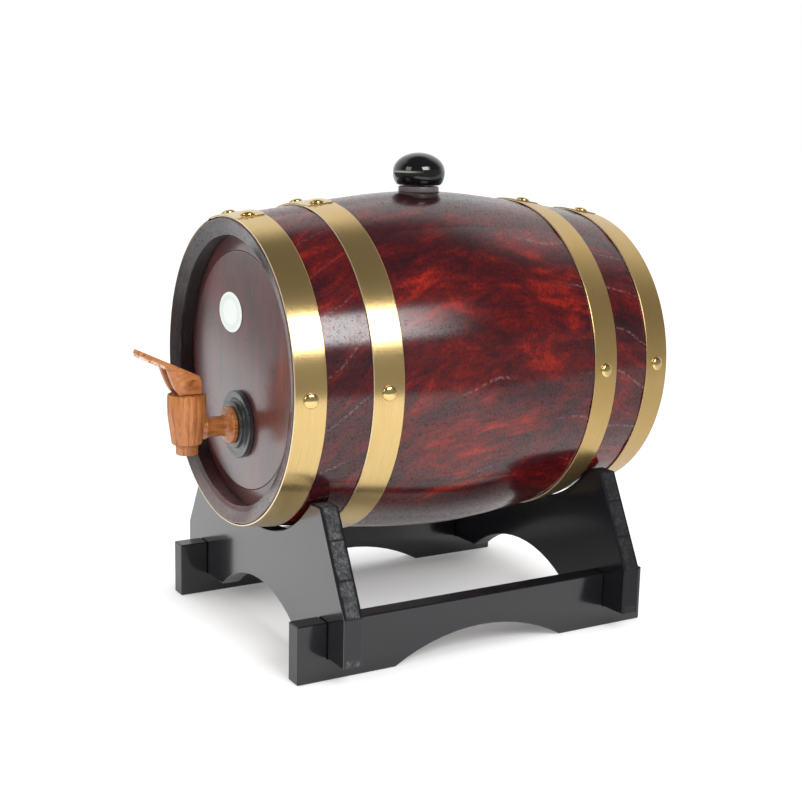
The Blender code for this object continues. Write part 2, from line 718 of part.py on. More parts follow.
def tap_stack():
    # Distances from the body's middle towards the cask, out of the stacked thicknesses.
    washer_face = TAP_REACH - GAP - WASHER_THICKNESS - WASHER_STEP_HEIGHT
    collar_back = washer_face - GAP
    head_back = TAP_REACH + HEAD_THICKNESS
    inner_washer = head_back + GAP
    nut = inner_washer + INNER_WASHER_THICKNESS + GAP
    return {
        "washer_face": washer_face,
        "collar_back": collar_back,
        "collar_face": collar_back - COLLAR_THICKNESS,
        "inner_washer": inner_washer,
        "nut": nut,
        "shank_end": nut + NUT_THICKNESS + SHANK_TAIL,
    }


def spout_points(stack):
    # Pipe, collar and shank as one turned arm; z points into the cask.
    pipe, collar, shank = PIPE_DIAMETER / 2, COLLAR_DIAMETER / 2, SHANK_DIAMETER / 2
    round_off = COLLAR_THICKNESS / 4
    return [
        (0, stack["shank_end"]),
        (shank, stack["shank_end"]),
        (shank, stack["collar_back"]),
        (collar - round_off, stack["collar_back"]),
        (collar, stack["collar_back"] - round_off),
        (collar, stack["collar_face"] + round_off),
        (collar - round_off, stack["collar_face"]),
        (pipe, stack["collar_face"]),
        (pipe, 0),
        (0, 0),
    ]


def make_tap_body(tap, stack):
    into_cask = (-math.pi / 2, 0, 0)
    body = part("tap_body", barrel_mesh(), "wood_plastic", tap)
    arm = turned_cutter("spout_arm", spout_points(stack), tap, turn=into_cask, steps=24)
    chamber = turned_cutter("chamber_cutter", chamber_points(), tap, steps=24)
    way = rod_points(SHANK_BORE / 2, 0, stack["shank_end"] + OVERRUN)
    waterway = turned_cutter("waterway_cutter", way, tap, turn=into_cask, steps=16)
    boolean(body, arm, "UNION")
    boolean(body, chamber)
    boolean(body, waterway)


def make_tap_fixings(tap, stack):
    into_cask = (-math.pi / 2, 0, 0)
    bore = SHANK_DIAMETER / 2 + GAP
    wide, step = WASHER_DIAMETER / 2, WASHER_STEP_DIAMETER / 2
    face = stack["washer_face"]
    back = TAP_REACH - GAP
    lip = WASHER_THICKNESS / 3
    washer = [(bore, back), (wide, back), (wide, face + WASHER_STEP_HEIGHT + lip)]
    washer += [(wide - lip, face + WASHER_STEP_HEIGHT), (step, face + WASHER_STEP_HEIGHT)]
    washer += [(step, face), (bore, face)]
    turned("tap_flange", washer, "black_rubber", tap, turn=into_cask, steps=40, closed=True)
    near = stack["inner_washer"]
    ring = tube_points(INNER_WASHER_DIAMETER / 2, bore, near, near + INNER_WASHER_THICKNESS)
    turned("tap_inner_washer", ring, "black_rubber", tap, turn=into_cask, steps=24, closed=True)
    corner = NUT_WIDTH / 2 / math.cos(math.pi / 6)
    nut = turned(
        "tap_nut", rod_points(corner, stack["nut"], stack["nut"] + NUT_THICKNESS),
        "wood_plastic", tap, turn=into_cask, steps=6,
    )
    thread = rod_points(bore, stack["nut"] - OVERRUN, stack["nut"] + NUT_THICKNESS + OVERRUN)
    boolean(nut, turned_cutter("nut_bore_cutter", thread, tap, turn=into_cask, steps=24))


def make_bonnet(tap):
    low = BONNET_TOP - BONNET_THICKNESS
    ring = tube_points(BONNET_DIAMETER / 2, STEM_DIAMETER / 2 + GAP, low, BONNET_TOP)
    turned("tap_bonnet", ring, "wood_plastic", tap, steps=28, closed=True)


def valve_levels():
    # Heights above the pipe's axis: seal, stem flange and spring.
    seal = -SEAT_DROP + GAP
    flange = seal + SEAL_THICKNESS + GAP
    spring = flange + STEM_FLANGE_THICKNESS + GAP
    return seal, flange, spring


def stem_head_points():
    # A bevelled head that stays clear under the paddle through the lever's whole swing.
    under = PADDLE_OVER_PIN * math.cos(PADDLE_SLOPE) - PADDLE_THICKNESS - 2 * GAP
    stem = STEM_DIAMETER / 2
    flat = stem * STEM_HEAD_SHARE

    def height(radius):
        return (under - radius * math.sin(PADDLE_SLOPE)) / math.cos(PADDLE_SLOPE)

    return [(0, height(flat)), (flat, height(flat)), (stem, height(stem))]


def make_valve(valve):
    # The valve's empty stands on the pin's axis, so heights here count from the pin.
    seal, flange, _ = (level - PIN_Z for level in valve_levels())
    socket = SEAL_THICKNESS * 0.6
    spigot = STEM_SPIGOT_DIAMETER / 2
    stem, wide = STEM_DIAMETER / 2, STEM_FLANGE_DIAMETER / 2
    points = stem_head_points() + [(stem, flange + STEM_FLANGE_THICKNESS)]
    points += [(wide, flange + STEM_FLANGE_THICKNESS), (wide, flange), (spigot, flange)]
    points += [(spigot, flange - socket), (0, flange - socket)]
    rod = turned("valve_stem", points, "wood_plastic", valve, steps=24)
    crosswise = (0, math.pi / 2, 0)
    reach = STEM_DIAMETER / 2 + OVERRUN
    hole = rod_points(PIN_DIAMETER / 2 + GAP, -reach, reach)
    boolean(rod, turned_cutter("stem_pin_hole_cutter", hole, valve, turn=crosswise, steps=12))
    top = seal + SEAL_THICKNESS
    bore = spigot + GAP
    cup = [(0, top - socket), (bore, top - socket), (bore, top), (SEAL_DIAMETER / 2, top)]
    cup += [(SEAL_DIAMETER / 2, seal), (0, seal)]
    turned("valve_seal", cup, "black_rubber", valve, steps=24)
    half = LEVER_WIDTH / 2
    turned("lever_pin", rod_points(PIN_DIAMETER / 2, -half, half), "wood_plastic", valve, turn=crosswise, steps=12)


def make_spring(tap):
    # An open coil between the stem's flange and the bonnet, its end turns laid closer.
    low = valve_levels()[2] + SPRING_WIRE / 2
    high = BONNET_TOP - BONNET_THICKNESS - GAP - SPRING_WIRE / 2
    radius = (SPRING_DIAMETER - SPRING_WIRE) / 2
    per_turn = 9
    count = SPRING_TURNS * per_turn
    points = []
    for i in range(count + 1):
        t = i / count
        eased = t - 0.075 * math.sin(2 * math.pi * t)
        a = 2 * math.pi * SPRING_TURNS * t
        points.append(Vector((radius * math.cos(a), radius * math.sin(a), low + (high - low) * eased)))
    least = min(
        (points[i] - points[j]).length - SPRING_WIRE
        for i in range(count + 1) for j in range(i + per_turn // 2, count + 1)
    )
    print(f"valve_spring: least gap to itself {least * 1000:.2f} mm")
    curve = bpy.data.curves.new("valve_spring", "CURVE")
    curve.dimensions = "3D"
    curve.bevel_depth = SPRING_WIRE / 2
    curve.bevel_resolution = 1
    curve.use_fill_caps = True
    spline = curve.splines.new("POLY")
    spline.points.add(count)
    for point, place in zip(spline.points, points):
        point.co = (*place, 1)
    part("valve_spring", curve, "spring_steel", tap)


def cheek_outline():
    # Side view of one cheek, forward (away from the cask) and up from the pin.
    slope = math.tan(PADDLE_SLOPE)
    foot = -LEVER_PIN_HEIGHT
    back = -CHEEK_FOOT_BACK
    soft = CHEEK_BACK_ROUNDING

    def in_paddle(forward):
        return PADDLE_OVER_PIN + forward * slope - PADDLE_THICKNESS * 0.3

    return [
        (CHEEK_FRONT_REACH, in_paddle(CHEEK_FRONT_REACH)),
        (back + soft, in_paddle(back + soft)),
        (back + soft / 4, in_paddle(back) - soft / 3),
        (back, in_paddle(back) - soft),
        (back, foot + soft),
        (back + soft / 2, foot),
        (CHEEK_FOOT_FRONT, foot),
        *(
            (
                CHEEK_FOOT_FRONT + (CHEEK_FRONT_REACH - CHEEK_FOOT_FRONT) * t + CHEEK_BOW * 4 * t * (1 - t),
                foot + (in_paddle(CHEEK_FRONT_REACH) - foot) * t,
            )
            for t in (0.25, 0.5, 0.75)
        ),
    ]


def paddle_outline():
    # The paddle from above: straight behind, widening forward to a round tip.
    length = (PADDLE_TIP + CHEEK_FOOT_BACK - CHEEK_BACK_ROUNDING) / math.cos(PADDLE_SLOPE)
    back, wide = LEVER_WIDTH / 2, PADDLE_WIDTH / 2
    tip = arc((length - wide, 0), wide, -math.pi / 2, math.pi / 2, 10)
    return [(0, -back), *tip, (0, back)]


def grip_outline():
    # The same round tip a little smaller, back to just inside the cheeks' front edges.
    length = (PADDLE_TIP + CHEEK_FOOT_BACK - CHEEK_BACK_ROUNDING) / math.cos(PADDLE_SLOPE)
    start = (CHEEK_FRONT_REACH + CHEEK_FOOT_BACK - CHEEK_BACK_ROUNDING - CHEEK_THICKNESS / 4) / math.cos(PADDLE_SLOPE)
    back, wide = LEVER_WIDTH / 2 - GRIP_INSET, PADDLE_WIDTH / 2 - GRIP_INSET
    tip = arc((length - PADDLE_WIDTH / 2, 0), wide, -math.pi / 2, math.pi / 2, 10)
    return [(start, -back), *tip, (start, back)]


def make_lever(lever):
    # Two cheeks under a flat paddle; the open slot between them takes the stem.
    side_on = (math.pi / 2, 0, -math.pi / 2)
    inner = LEVER_WIDTH / 2 - CHEEK_THICKNESS / 2
    slope_back = (0, -PADDLE_SLOPE, -math.pi / 2)
    behind = CHEEK_FOOT_BACK - CHEEK_BACK_ROUNDING
    height = PADDLE_OVER_PIN - behind * math.tan(PADDLE_SLOPE)
    down = PADDLE_THICKNESS / 2 / math.cos(PADDLE_SLOPE)
    body = part(
        "tap_lever", prism("tap_lever", paddle_outline(), PADDLE_THICKNESS), "wood_plastic", lever,
        place=(0, behind, height - down), turn=slope_back,
    )
    grip = prism("grip", grip_outline(), PADDLE_THICKNESS / 2 + GRIP_DEPTH)
    under = (PADDLE_THICKNESS * 3 / 4 + GRIP_DEPTH / 2) / math.cos(PADDLE_SLOPE)
    boolean(body, cutter("grip", grip, lever, place=(0, behind, height - under), turn=slope_back), "UNION")
    for side, sign in (("right", 1), ("left", -1)):
        mesh = prism(f"{side}_cheek", cheek_outline(), CHEEK_THICKNESS)
        cheek = cutter(f"{side}_cheek", mesh, lever, place=(sign * inner, 0, 0), turn=side_on)
        boolean(body, cheek, "UNION")
    reach = LEVER_WIDTH / 2 + OVERRUN
    hole = rod_points(PIN_DIAMETER / 2 + GAP, -reach, reach)
    crosswise = (0, math.pi / 2, 0)
    boolean(body, turned_cutter("lever_pin_hole_cutter", hole, lever, turn=crosswise, steps=12))


root = anchor("stand_origin", (0, CENTRE_Y - CASK_SHIFT, 0))
cask = anchor("cask_axis", (0, CASK_SHIFT, CASK_AXIS_HEIGHT), root)
bung = anchor("bung_axis", (0, 0, BUNG_SEAT_Z), cask)
tap = anchor("tap_axis", (0, TAP_Y, -TAP_DROP), cask)
valve = anchor("valve_axis", (0, 0, PIN_Z), tap)
lever = anchor("lever_axis", (0, 0, 0), valve)

make_stand(root)
make_hoops(cask, make_staves(cask))
make_heads(cask)
make_label(cask)
make_bung(bung)
stack = tap_stack()
make_tap_body(tap, stack)
make_tap_fixings(tap, stack)
make_bonnet(tap)
make_spring(tap)
make_valve(valve)
make_lever(lever)
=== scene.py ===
import json
from math import atan2, cos, hypot, pi, radians, sin, sqrt, tan

import bmesh
import bpy
from mathutils import Matrix, Vector


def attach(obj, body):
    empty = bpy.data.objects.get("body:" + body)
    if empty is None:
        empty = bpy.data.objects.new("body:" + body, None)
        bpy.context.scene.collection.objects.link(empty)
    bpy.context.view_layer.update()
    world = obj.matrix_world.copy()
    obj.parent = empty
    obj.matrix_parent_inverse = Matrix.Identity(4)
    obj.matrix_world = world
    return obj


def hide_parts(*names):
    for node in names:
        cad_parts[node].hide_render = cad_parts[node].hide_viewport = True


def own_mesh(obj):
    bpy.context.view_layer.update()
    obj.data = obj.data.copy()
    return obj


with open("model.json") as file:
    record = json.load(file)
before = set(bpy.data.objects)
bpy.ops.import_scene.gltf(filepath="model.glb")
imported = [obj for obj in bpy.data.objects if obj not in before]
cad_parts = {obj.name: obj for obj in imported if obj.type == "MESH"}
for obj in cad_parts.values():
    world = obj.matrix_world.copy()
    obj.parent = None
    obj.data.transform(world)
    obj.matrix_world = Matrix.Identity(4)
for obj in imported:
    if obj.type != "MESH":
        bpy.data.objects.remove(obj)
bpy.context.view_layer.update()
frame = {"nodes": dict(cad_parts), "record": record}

nodes = frame["nodes"]
print("frame loaded:", len(nodes), "nodes")

# Places shared by several pieces, in metres; the heads' faces are measured from the cask's middle
cask = {
    "middleY": 0.02865, "axisZ": 0.166, "halfLength": 0.132, "endRadius": 0.092, "bellyRadius": 0.107,
    "roundness": 0.30, "staves": 16, "wall": 0.0108, "gap": 0.0003,
    "field": 0.1223, "border": 0.1189, "tongueBack": 0.1144, "croze": 0.003,
}
tap = {"y": -0.12835, "z": 0.1332, "pinZ": 0.1618, "leverSlope": 25.0}
slope = radians(tap["leverSlope"])
middleY, axisZ, gap = cask["middleY"], cask["axisZ"], cask["gap"]


def showObject(name, data):
    made = bpy.data.objects.new(name, data)
    bpy.context.scene.collection.objects.link(made)
    return made


# Camera, fitted to the photograph
camera = {
    "eye": (0.7543, -0.4291, 0.3081), "azimuth": 59.271, "pitch": 10.947, "roll": 1.278,
    "lens": 62.0, "sensor": 36.0,
}

cameraData = bpy.data.cameras.new("camera")
cameraData.lens = camera["lens"]
cameraData.sensor_width = camera["sensor"]
cameraObject = showObject("camera", cameraData)
turn, tilt, lean = (radians(camera[key]) for key in ("azimuth", "pitch", "roll"))
back = Vector((sin(turn) * cos(tilt), -cos(turn) * cos(tilt), sin(tilt)))
right = (-back).cross(Vector((0, 0, 1))).normalized()
up = right.cross(-back)
columns = (cos(lean) * right + sin(lean) * up, cos(lean) * up - sin(lean) * right, back)
pose = Matrix(columns).transposed().to_4x4()
pose.translation = camera["eye"]
cameraObject.matrix_world = pose
bpy.context.scene.camera = cameraObject
bpy.context.scene.view_settings.view_transform = "Standard"
print("camera placed")


class Wire:
    # one socket, with the operators that the finishes use
    def __init__(self, graph, socket):
        self.graph = graph
        self.socket = socket

    def math(self, operation, other=0.0, flip=False):
        pair = (other, self) if flip else (self, other)
        return self.graph.node("ShaderNodeMath", {"operation": operation}, {0: pair[0], 1: pair[1]})

    def __add__(self, other):
        return self.math("ADD", other)

    def __sub__(self, other):
        return self.math("SUBTRACT", other)

    def __rsub__(self, other):
        return self.math("SUBTRACT", other, flip=True)

    def __mul__(self, other):
        return self.math("MULTIPLY", other)

    def __truediv__(self, other):
        return self.math("DIVIDE", other)

    def __abs__(self):
        return self.math("ABSOLUTE")

    __radd__ = __add__
    __rmul__ = __mul__


class Graph:
    # the nodes of one material or of the world
    def __init__(self, tree):
        self.tree = tree

    def node(self, kind, settings, inputs, out=0):
        made = self.tree.nodes.new(kind)
        for key, value in settings.items():
            if key == "stops":
                ramp = made.color_ramp
                while len(ramp.elements) < len(value):
                    ramp.elements.new(0.5)
                for element, (place, colour) in zip(ramp.elements, value):
                    element.position = place
                    element.color = (*colour, 1)
            else:
                setattr(made, key, value)
        for key, value in inputs.items():
            if isinstance(value, Wire):
                self.tree.links.new(value.socket, made.inputs[key])
            else:
                made.inputs[key].default_value = value
        return Wire(self, made.outputs[out])

    def place(self, kind="Object"):
        # x, y and z of the piece's own coordinates, or of its normal
        whole = self.node("ShaderNodeTexCoord", {}, {}, kind)
        return [self.node("ShaderNodeSeparateXYZ", {}, {0: whole}, axis) for axis in range(3)]

    def rays(self):
        # whether the camera, a mirror or glass is looking
        outs = ("Is Camera Ray", "Is Glossy Ray", "Is Transmission Ray")
        return [self.node("ShaderNodeLightPath", {}, {}, out) for out in outs]

    def noise(self, x, y, z, scale, detail=3.0, roughness=0.55, distortion=0.0):
        where = self.node("ShaderNodeCombineXYZ", {}, {0: x, 1: y, 2: z})
        sizes = {"Scale": scale, "Detail": detail, "Roughness": roughness, "Distortion": distortion}
        return self.node("ShaderNodeTexNoise", {}, {"Vector": where, **sizes})

    def spots(self, x, y, z, limits, *noise):
        # a noise that stands out from one limit to the other
        return self.step(self.noise(x, y, z, *noise), *limits)

    def step(self, value, low, high):
        ends = {"Value": value, "From Min": low, "From Max": high}
        return self.node("ShaderNodeMapRange", {"interpolation_type": "SMOOTHSTEP"}, ends)

    def ramp(self, value, *stops):
        return self.node("ShaderNodeValToRGB", {"stops": stops}, {0: value})

    def mix(self, factor, first, second):
        pair = [(*c, 1) if isinstance(c, tuple) else c for c in (first, second)]
        return self.node("ShaderNodeMix", {"data_type": "RGBA"}, {0: factor, 6: pair[0], 7: pair[1]}, 2)

    def bump(self, height, distance, strength=1.0):
        sizes = {"Height": height, "Distance": distance, "Strength": strength}
        return self.node("ShaderNodeBump", {}, sizes, "Normal")


def makeFinish(name, constants, paint):
    # constants go on the shader's own sockets; paint gives what changes over the surface
    material = bpy.data.materials.new(name)
    material.use_nodes = True
    graph = Graph(material.node_tree)
    shader = material.node_tree.nodes["Principled BSDF"]
    for key, value in constants.items():
        shader.inputs[key].default_value = value
    for key, wire in paint(graph).items():
        graph.tree.links.new(wire.socket, shader.inputs[key])
    return material


# Stained wood of the staves. A noise has a scale and detail, often roughness and distortion; a pair is
# where something begins and where it is whole; spots have a pair and a noise
staveWood = {
    "bendNoise": (9.0, 2), "blotchNoise": (20.0, 6, 0.62, 0.5), "patchNoise": (95.0, 4, 0.62, 0.7),
    "fibreNoise": (300.0, 4, 0.6), "streakNoise": (420.0, 3), "tickNoise": (620.0, 3, 0.6),
    "mottleNoise": (260.0, 4),
    "bow": 2.6, "bowMiddle": 0.03, "bend": 0.05,
    "blotchShare": 0.42, "patchShare": 0.42, "fibreShare": 0.12, "streakShare": 0.04, "tickShare": 0.16,
    "pores": ((0.61, 0.74), 1050.0, 1), "poreDepth": 0.30, "dots": ((0.55, 0.68), 1312.5, 1),
    "lineEvery": 0.030, "lineWidth": (0.970, 0.999), "dashes": ((0.42, 0.60), 520.0, 2),
    "linePatches": ((0.50, 0.60), 11.0, 1), "lineStrength": 0.42, "dullTicks": (0.50, 0.70),
    # painted shade round the bung: where it begins and is whole, the heights it covers, and its depth
    "bungShade": (0.056, 0.026), "bungShadeHeight": (0.0, 0.05), "bungShadeDepth": 0.88,
    "endNormal": (0.55, 0.75), "endAlong": (0.126, 0.127), "recessRadius": (0.0850, 0.0838),
    "lowerHeight": (-0.052, -0.084), "sideX": (0.058, 0.078), "ragged": 0.012, "relief": 0.00022,
    "stain": ((0.37, (0.013, 0.003, 0.004)), (0.47, (0.038, 0.003, 0.005)), (0.55, (0.084, 0.004, 0.004)),
              (0.63, (0.215, 0.010, 0.004)), (0.73, (0.480, 0.032, 0.006))),
    "line": (0.20, 0.13, 0.13), "endGrain": (0.030, 0.018, 0.020), "recess": (0.014, 0.007, 0.008),
    # a painted sheen for the end grain, then painted light for the bottom of the inside wall
    "endSheen": (0.190, 0.135, 0.130), "litInnerWall": (0.085, 0.016, 0.018),
}


def caskPlace(graph):
    # across the cask, along it from its middle, above its axis, and the distance from its axis
    x, y, z = graph.place()
    along = y - middleY
    height = z - axisZ
    radius = (x * x + height * height).math("SQRT")
    return x, along, height, radius


def paintStaves(graph):
    wood = staveWood
    x, along, height, radius = caskPlace(graph)
    arc = x.math("ARCTAN2", height) * cask["bellyRadius"]
    # the grain climbs and falls in a bow along the cask, bent by a slow noise
    bend = graph.noise(x, along, height, *wood["bendNoise"])
    off = along - wood["bowMiddle"]
    slant = arc - off * off * wood["bow"] + bend * wood["bend"]
    blotch = graph.noise(x + 0.31, along * 0.7, height + 0.12, *wood["blotchNoise"])
    patches = graph.noise(slant, along * 0.34, radius, *wood["patchNoise"])
    fibre = graph.noise(slant, along * 0.05, bend * 0.4, *wood["fibreNoise"])
    streak = graph.noise(arc, along * 0.06, blotch * 0.1, *wood["streakNoise"])
    ticks = graph.noise(arc * 0.5, along, radius, *wood["tickNoise"])
    tone = blotch * wood["blotchShare"] + patches * wood["patchShare"] + fibre * wood["fibreShare"]
    tone = tone + streak * wood["streakShare"] + (ticks - 0.5) * wood["tickShare"]
    colour = graph.ramp(tone, *wood["stain"])
    # pale broken lines, and dark pores
    line = (slant * (2 * pi / wood["lineEvery"])).math("SINE")
    dashes = graph.spots(arc, along, radius, *wood["dashes"])
    patch = graph.spots(x, along + 0.4, height, *wood["linePatches"])
    lines = graph.step(line, *wood["lineWidth"]) * dashes * patch
    colour = graph.mix(lines * wood["lineStrength"], colour, wood["line"])
    pores = graph.spots(arc, along * 0.4, radius, *wood["pores"])
    colour = graph.mix(pores * wood["poreDepth"], colour, wood["recess"])
    # painted shade round the bung: the wood is darkened there for the knob's dark reflection and contact
    # shadow
    bungOff = (x * x + along * along).math("SQRT")
    shade = graph.step(bungOff, *wood["bungShade"]) * graph.step(height, *wood["bungShadeHeight"])
    colour = graph.mix(shade * wood["bungShadeDepth"], colour, wood["recess"])
    # the end grain's lower part and right side are painted pale as a painted sheen, and the wall inside the
    # ends is painted lighter red at the bottom as painted light
    normal = graph.place("Normal")
    ends = graph.step(abs(normal[1]), *wood["endNormal"]) * graph.step(abs(along), *wood["endAlong"])
    recess = graph.step(radius, *wood["recessRadius"])
    mottle = graph.noise(x, along, height, *wood["mottleNoise"])
    endGrain = graph.mix(mottle, wood["recess"], wood["endGrain"])
    lower = graph.step(height + mottle * wood["ragged"], *wood["lowerHeight"])
    side = graph.step(x + mottle * wood["ragged"], *wood["sideX"])
    # painted sheen: the end grain turns pale low down and on its right side
    endSheen = lower.math("MAXIMUM", side) * (mottle + 0.3)
    colour = graph.mix(ends, colour, graph.mix(endSheen, endGrain, wood["endSheen"]))
    # painted light: the dark inside wall of the ends is lighter red at the bottom, where it faces up
    colour = graph.mix(recess, colour, graph.mix(lower, wood["recess"], wood["litInnerWall"]))
    rough = pores * 0.30 + streak * 0.10 + ends * 0.15 + 0.20
    relief = graph.bump(streak * 0.4 + fibre * 0.3 - pores * 1.4 + blotch * 1.2, wood["relief"])
    # the lacquer is thin over dots and ticks
    dots = graph.spots(arc, along * 0.6, radius, *wood["dots"])
    coat = 1 - dots * 0.5 - graph.step(ticks, *wood["dullTicks"]) * 0.3
    return {"Base Color": colour, "Roughness": rough, "Coat Weight": coat, "Normal": relief}


# Heads: the same stain on upright boards
headWood = {
    "board": 0.052, "shift": 2.37, "blotchNoise": (26.0, 5, 0.6, 0.4), "streakNoise": (380.0, 3),
    "pores": ((0.62, 0.75), 1400.0, 1), "poreDepth": 0.4, "relief": 0.00018,
    "stain": ((0.30, (0.026, 0.010, 0.011)), (0.48, (0.070, 0.020, 0.020)), (0.62, (0.120, 0.030, 0.027)),
              (0.78, (0.210, 0.040, 0.032))),
}


def paintHeads(graph):
    wood = headWood
    x, along, height, radius = caskPlace(graph)
    shift = (x / wood["board"] + 0.5).math("FLOOR") * wood["shift"]
    blotch = graph.noise(x + 0.7, along + shift * 0.02, height * 0.6, *wood["blotchNoise"])
    streak = graph.noise(x, shift, height * 0.06, *wood["streakNoise"])
    colour = graph.ramp(blotch * 0.75 + streak * 0.25, *wood["stain"])
    pores = graph.spots(x, shift, height * 0.2, *wood["pores"])
    colour = graph.mix(pores * wood["poreDepth"], colour, staveWood["recess"])
    rough = streak * 0.16 + pores * 0.2 + 0.28
    relief = graph.bump(streak * 0.5 - pores * 0.6, wood["relief"])
    return {"Base Color": colour, "Roughness": rough, "Normal": relief}


# Brushed brass of the hoops
hoopBrass = {
    # the rim colour is a painted highlight on the hoops' front rims
    "bright": (0.69, 0.505, 0.225), "dull": (0.56, 0.375, 0.14), "rim": (0.95, 0.82, 0.58),
    "linesPerMetre": 2600.0, "breaks": 4.0, "scratchBreaks": 16.0,
    "clouds": ((0.35, 0.75), 30.0, 3), "brushed": (0.30, 0.75),
    "rearShadeAlong": (0.0, 0.06), "rimHighlightNormal": (-0.35, -0.60),
    "relief": 0.00006, "reliefStrength": 0.6,
}


def paintHoops(graph):
    brass = hoopBrass
    x, along, height, radius = caskPlace(graph)
    turnX, turnZ = x / radius, height / radius

    def brushing(breaks, perMetre):
        # fine lines that run round the hoop
        return graph.noise(turnX * breaks, along * perMetre, turnZ * breaks, 1.0, 2)

    brush = brushing(brass["breaks"], brass["linesPerMetre"])
    scratch = brushing(brass["scratchBreaks"], brass["linesPerMetre"] * 2)
    clouds = graph.spots(x, along, height, *brass["clouds"])
    tone = clouds * 0.25 + graph.step(brush, *brass["brushed"]) * 0.35 + scratch * 0.25
    # the rear hoops are painted duller as painted shade, and every front rim is painted pale as a painted
    # highlight
    wearAndShade = graph.step(along, *brass["rearShadeAlong"])
    colour = graph.mix(tone + wearAndShade * 0.5, brass["bright"], brass["dull"])
    rim = graph.step(graph.place("Normal")[1], *brass["rimHighlightNormal"])
    colour = graph.mix(rim, colour, brass["rim"])
    rough = brush * 0.12 + scratch * 0.08 + rim * 0.25 + wearAndShade * 0.12 + 0.09
    relief = graph.bump(brush + scratch * 0.6, brass["relief"], brass["reliefStrength"])
    return {"Base Color": colour, "Roughness": rough, "Normal": relief}


# Black paint of the stand; the narrow edges are sanded end grain
boardPaint = {
    "face": (0.006, 0.006, 0.008), "grain": (0.014, 0.014, 0.017), "edge": (0.030, 0.030, 0.033),
    "speck": (0.26, 0.27, 0.26), "grainNoise": (420.0, 4), "layerNoise": (500.0, 3),
    "middleY": 0.02395, "saddleY": 0.0995, "bandHalf": (0.0064, 0.0050), "wanderNoise": (160.0, 3),
    "wander": 0.0030, "bandAbove": (0.0415, 0.0430), "bandBelow": (0.0195, 0.0165),
    "joints": (0.0615, 0.0820), "jointHalf": (0.0013, 0.0006), "jointDepth": 0.8,
    "speckNoise": (430.0, 7, 0.78), "specks": (0.40, 0.70), "scuffs": ((0.25, 0.60), 150.0, 2),
    "scuffDepth": 0.42, "edgeNormal": (0.90, 0.60), "sideNormal": (-0.30, -0.10), "trayNormal": (0.15, 0.45),
    "frontY": (0.03, 0.0), "relief": 0.00022,
}


def paintBoards(flatAxis):
    look = boardPaint

    def paint(graph):
        x, y, z = graph.place()
        normal = graph.place("Normal")
        edge = graph.step(abs(normal[flatAxis]), *look["edgeNormal"])
        thin, wide = (x, y) if flatAxis == 0 else (y, x)
        grain = graph.noise(x * 0.35, y * 0.35, z, *look["grainNoise"])
        layers = graph.noise(thin * 3.0, wide * 0.3, z * 0.3, *look["layerNoise"])
        face = graph.mix(grain * 0.5, look["face"], look["grain"])
        # the saddles' sloping sides and horns are rubbed along their middle, and their lower ends a little
        across = abs(abs(y - look["middleY"]) - look["saddleY"])
        wander = graph.noise(x, y, z, *look["wanderNoise"]) * look["wander"]
        levels = graph.step(z, *look["bandAbove"]) + graph.step(z, *look["bandBelow"])
        band = graph.step(across + wander, *look["bandHalf"]) * levels
        for joint in look["joints"]:
            near = graph.step(abs(z - joint) + wander * 0.2, *look["jointHalf"])
            band = band * (1 - near * look["jointDepth"])
        # the rear saddle is darker and hardly rubbed
        front = graph.step(y, *look["frontY"])
        rubbedAndSheen = edge * band * graph.step(normal[2], *look["sideNormal"]) * (front * 0.75 + 0.25)
        specks = graph.noise(x * 1.3, y * 1.3, z * 0.9, *look["speckNoise"])
        scuff = graph.step(specks, *look["specks"]) * graph.spots(x, y, z, *look["scuffs"])
        wearAndShade = graph.mix(scuff * look["scuffDepth"], look["edge"], look["speck"])
        colour = graph.mix(rubbedAndSheen, face, wearAndShade)
        # the saddles' upper edges lie in the cask's shade, dull and dusty
        tray = graph.step(normal[2], *look["trayNormal"]) * edge * (0.0, 1.0)[flatAxis]
        rough = edge * 0.20 + grain * 0.10 + rubbedAndSheen * 0.25 + tray * 0.30 + 0.20
        relief = graph.bump(grain * 0.10 + edge * layers * 0.5 + rubbedAndSheen * specks * 0.8, look["relief"])
        coat = (1 - edge * (0.35, 0.55)[flatAxis] - rubbedAndSheen * 0.4) * (1 - tray)
        if flatAxis == 1:
            coat = coat * (front * 0.78 + 0.22)
        return {"Base Color": colour, "Roughness": rough, "Coat Weight": coat, "Normal": relief}

    return paint


# Gloss knob with a painted reflection along its moulding seam
knobPlastic = {
    "black": (0.004, 0.004, 0.005), "grey": (0.02, 0.02, 0.02), "dust": ((0.55, 0.75), 900.0, 3),
    "dustDepth": 0.3, "seam": (0.29, 0.30, 0.22), "seamZ": 0.2850, "seamHalf": (0.0008, 0.00032),
    "seenLean": 0.4, "seen": (0.002, -0.014),
}


def paintKnob(graph):
    look = knobPlastic
    x, y, z = graph.place()
    dust = graph.spots(x, y, z, *look["dust"])
    colour = graph.mix(dust * look["dustDepth"], look["black"], look["grey"])
    # a pale line painted along the seam as a painted reflection of the horizon, only on the side towards the
    # tap
    seam = graph.step(abs(z - look["seamZ"]), *look["seamHalf"])
    seen = graph.step(x * look["seenLean"] + y - middleY, *look["seen"])
    colour = graph.mix(seam * seen, colour, look["seam"])
    return {"Base Color": colour, "Roughness": dust * 0.10 + 0.06}


# Wood-coloured plastic of the tap
tapPlastic = {
    "dark": (0.18, 0.046, 0.014), "middle": (0.42, 0.145, 0.038), "light": (0.62, 0.27, 0.084),
    # the pale colour next is a painted reflection on the paddle's lower edge
    "rubbedAndSheen": (0.80, 0.70, 0.56), "flowNoise": (210.0, 4, 0.6, 1.4), "fineNoise": (900.0, 3),
    "streaks": ((0.52, 0.66), 330.0, 3, 0.6, 0.8), "flecks": ((0.30, 0.60), 420.0, 3), "relief": 0.00010,
    "sheenOver": (0.0040, 0.0030), "sheenForward": (0.014, 0.018),
}


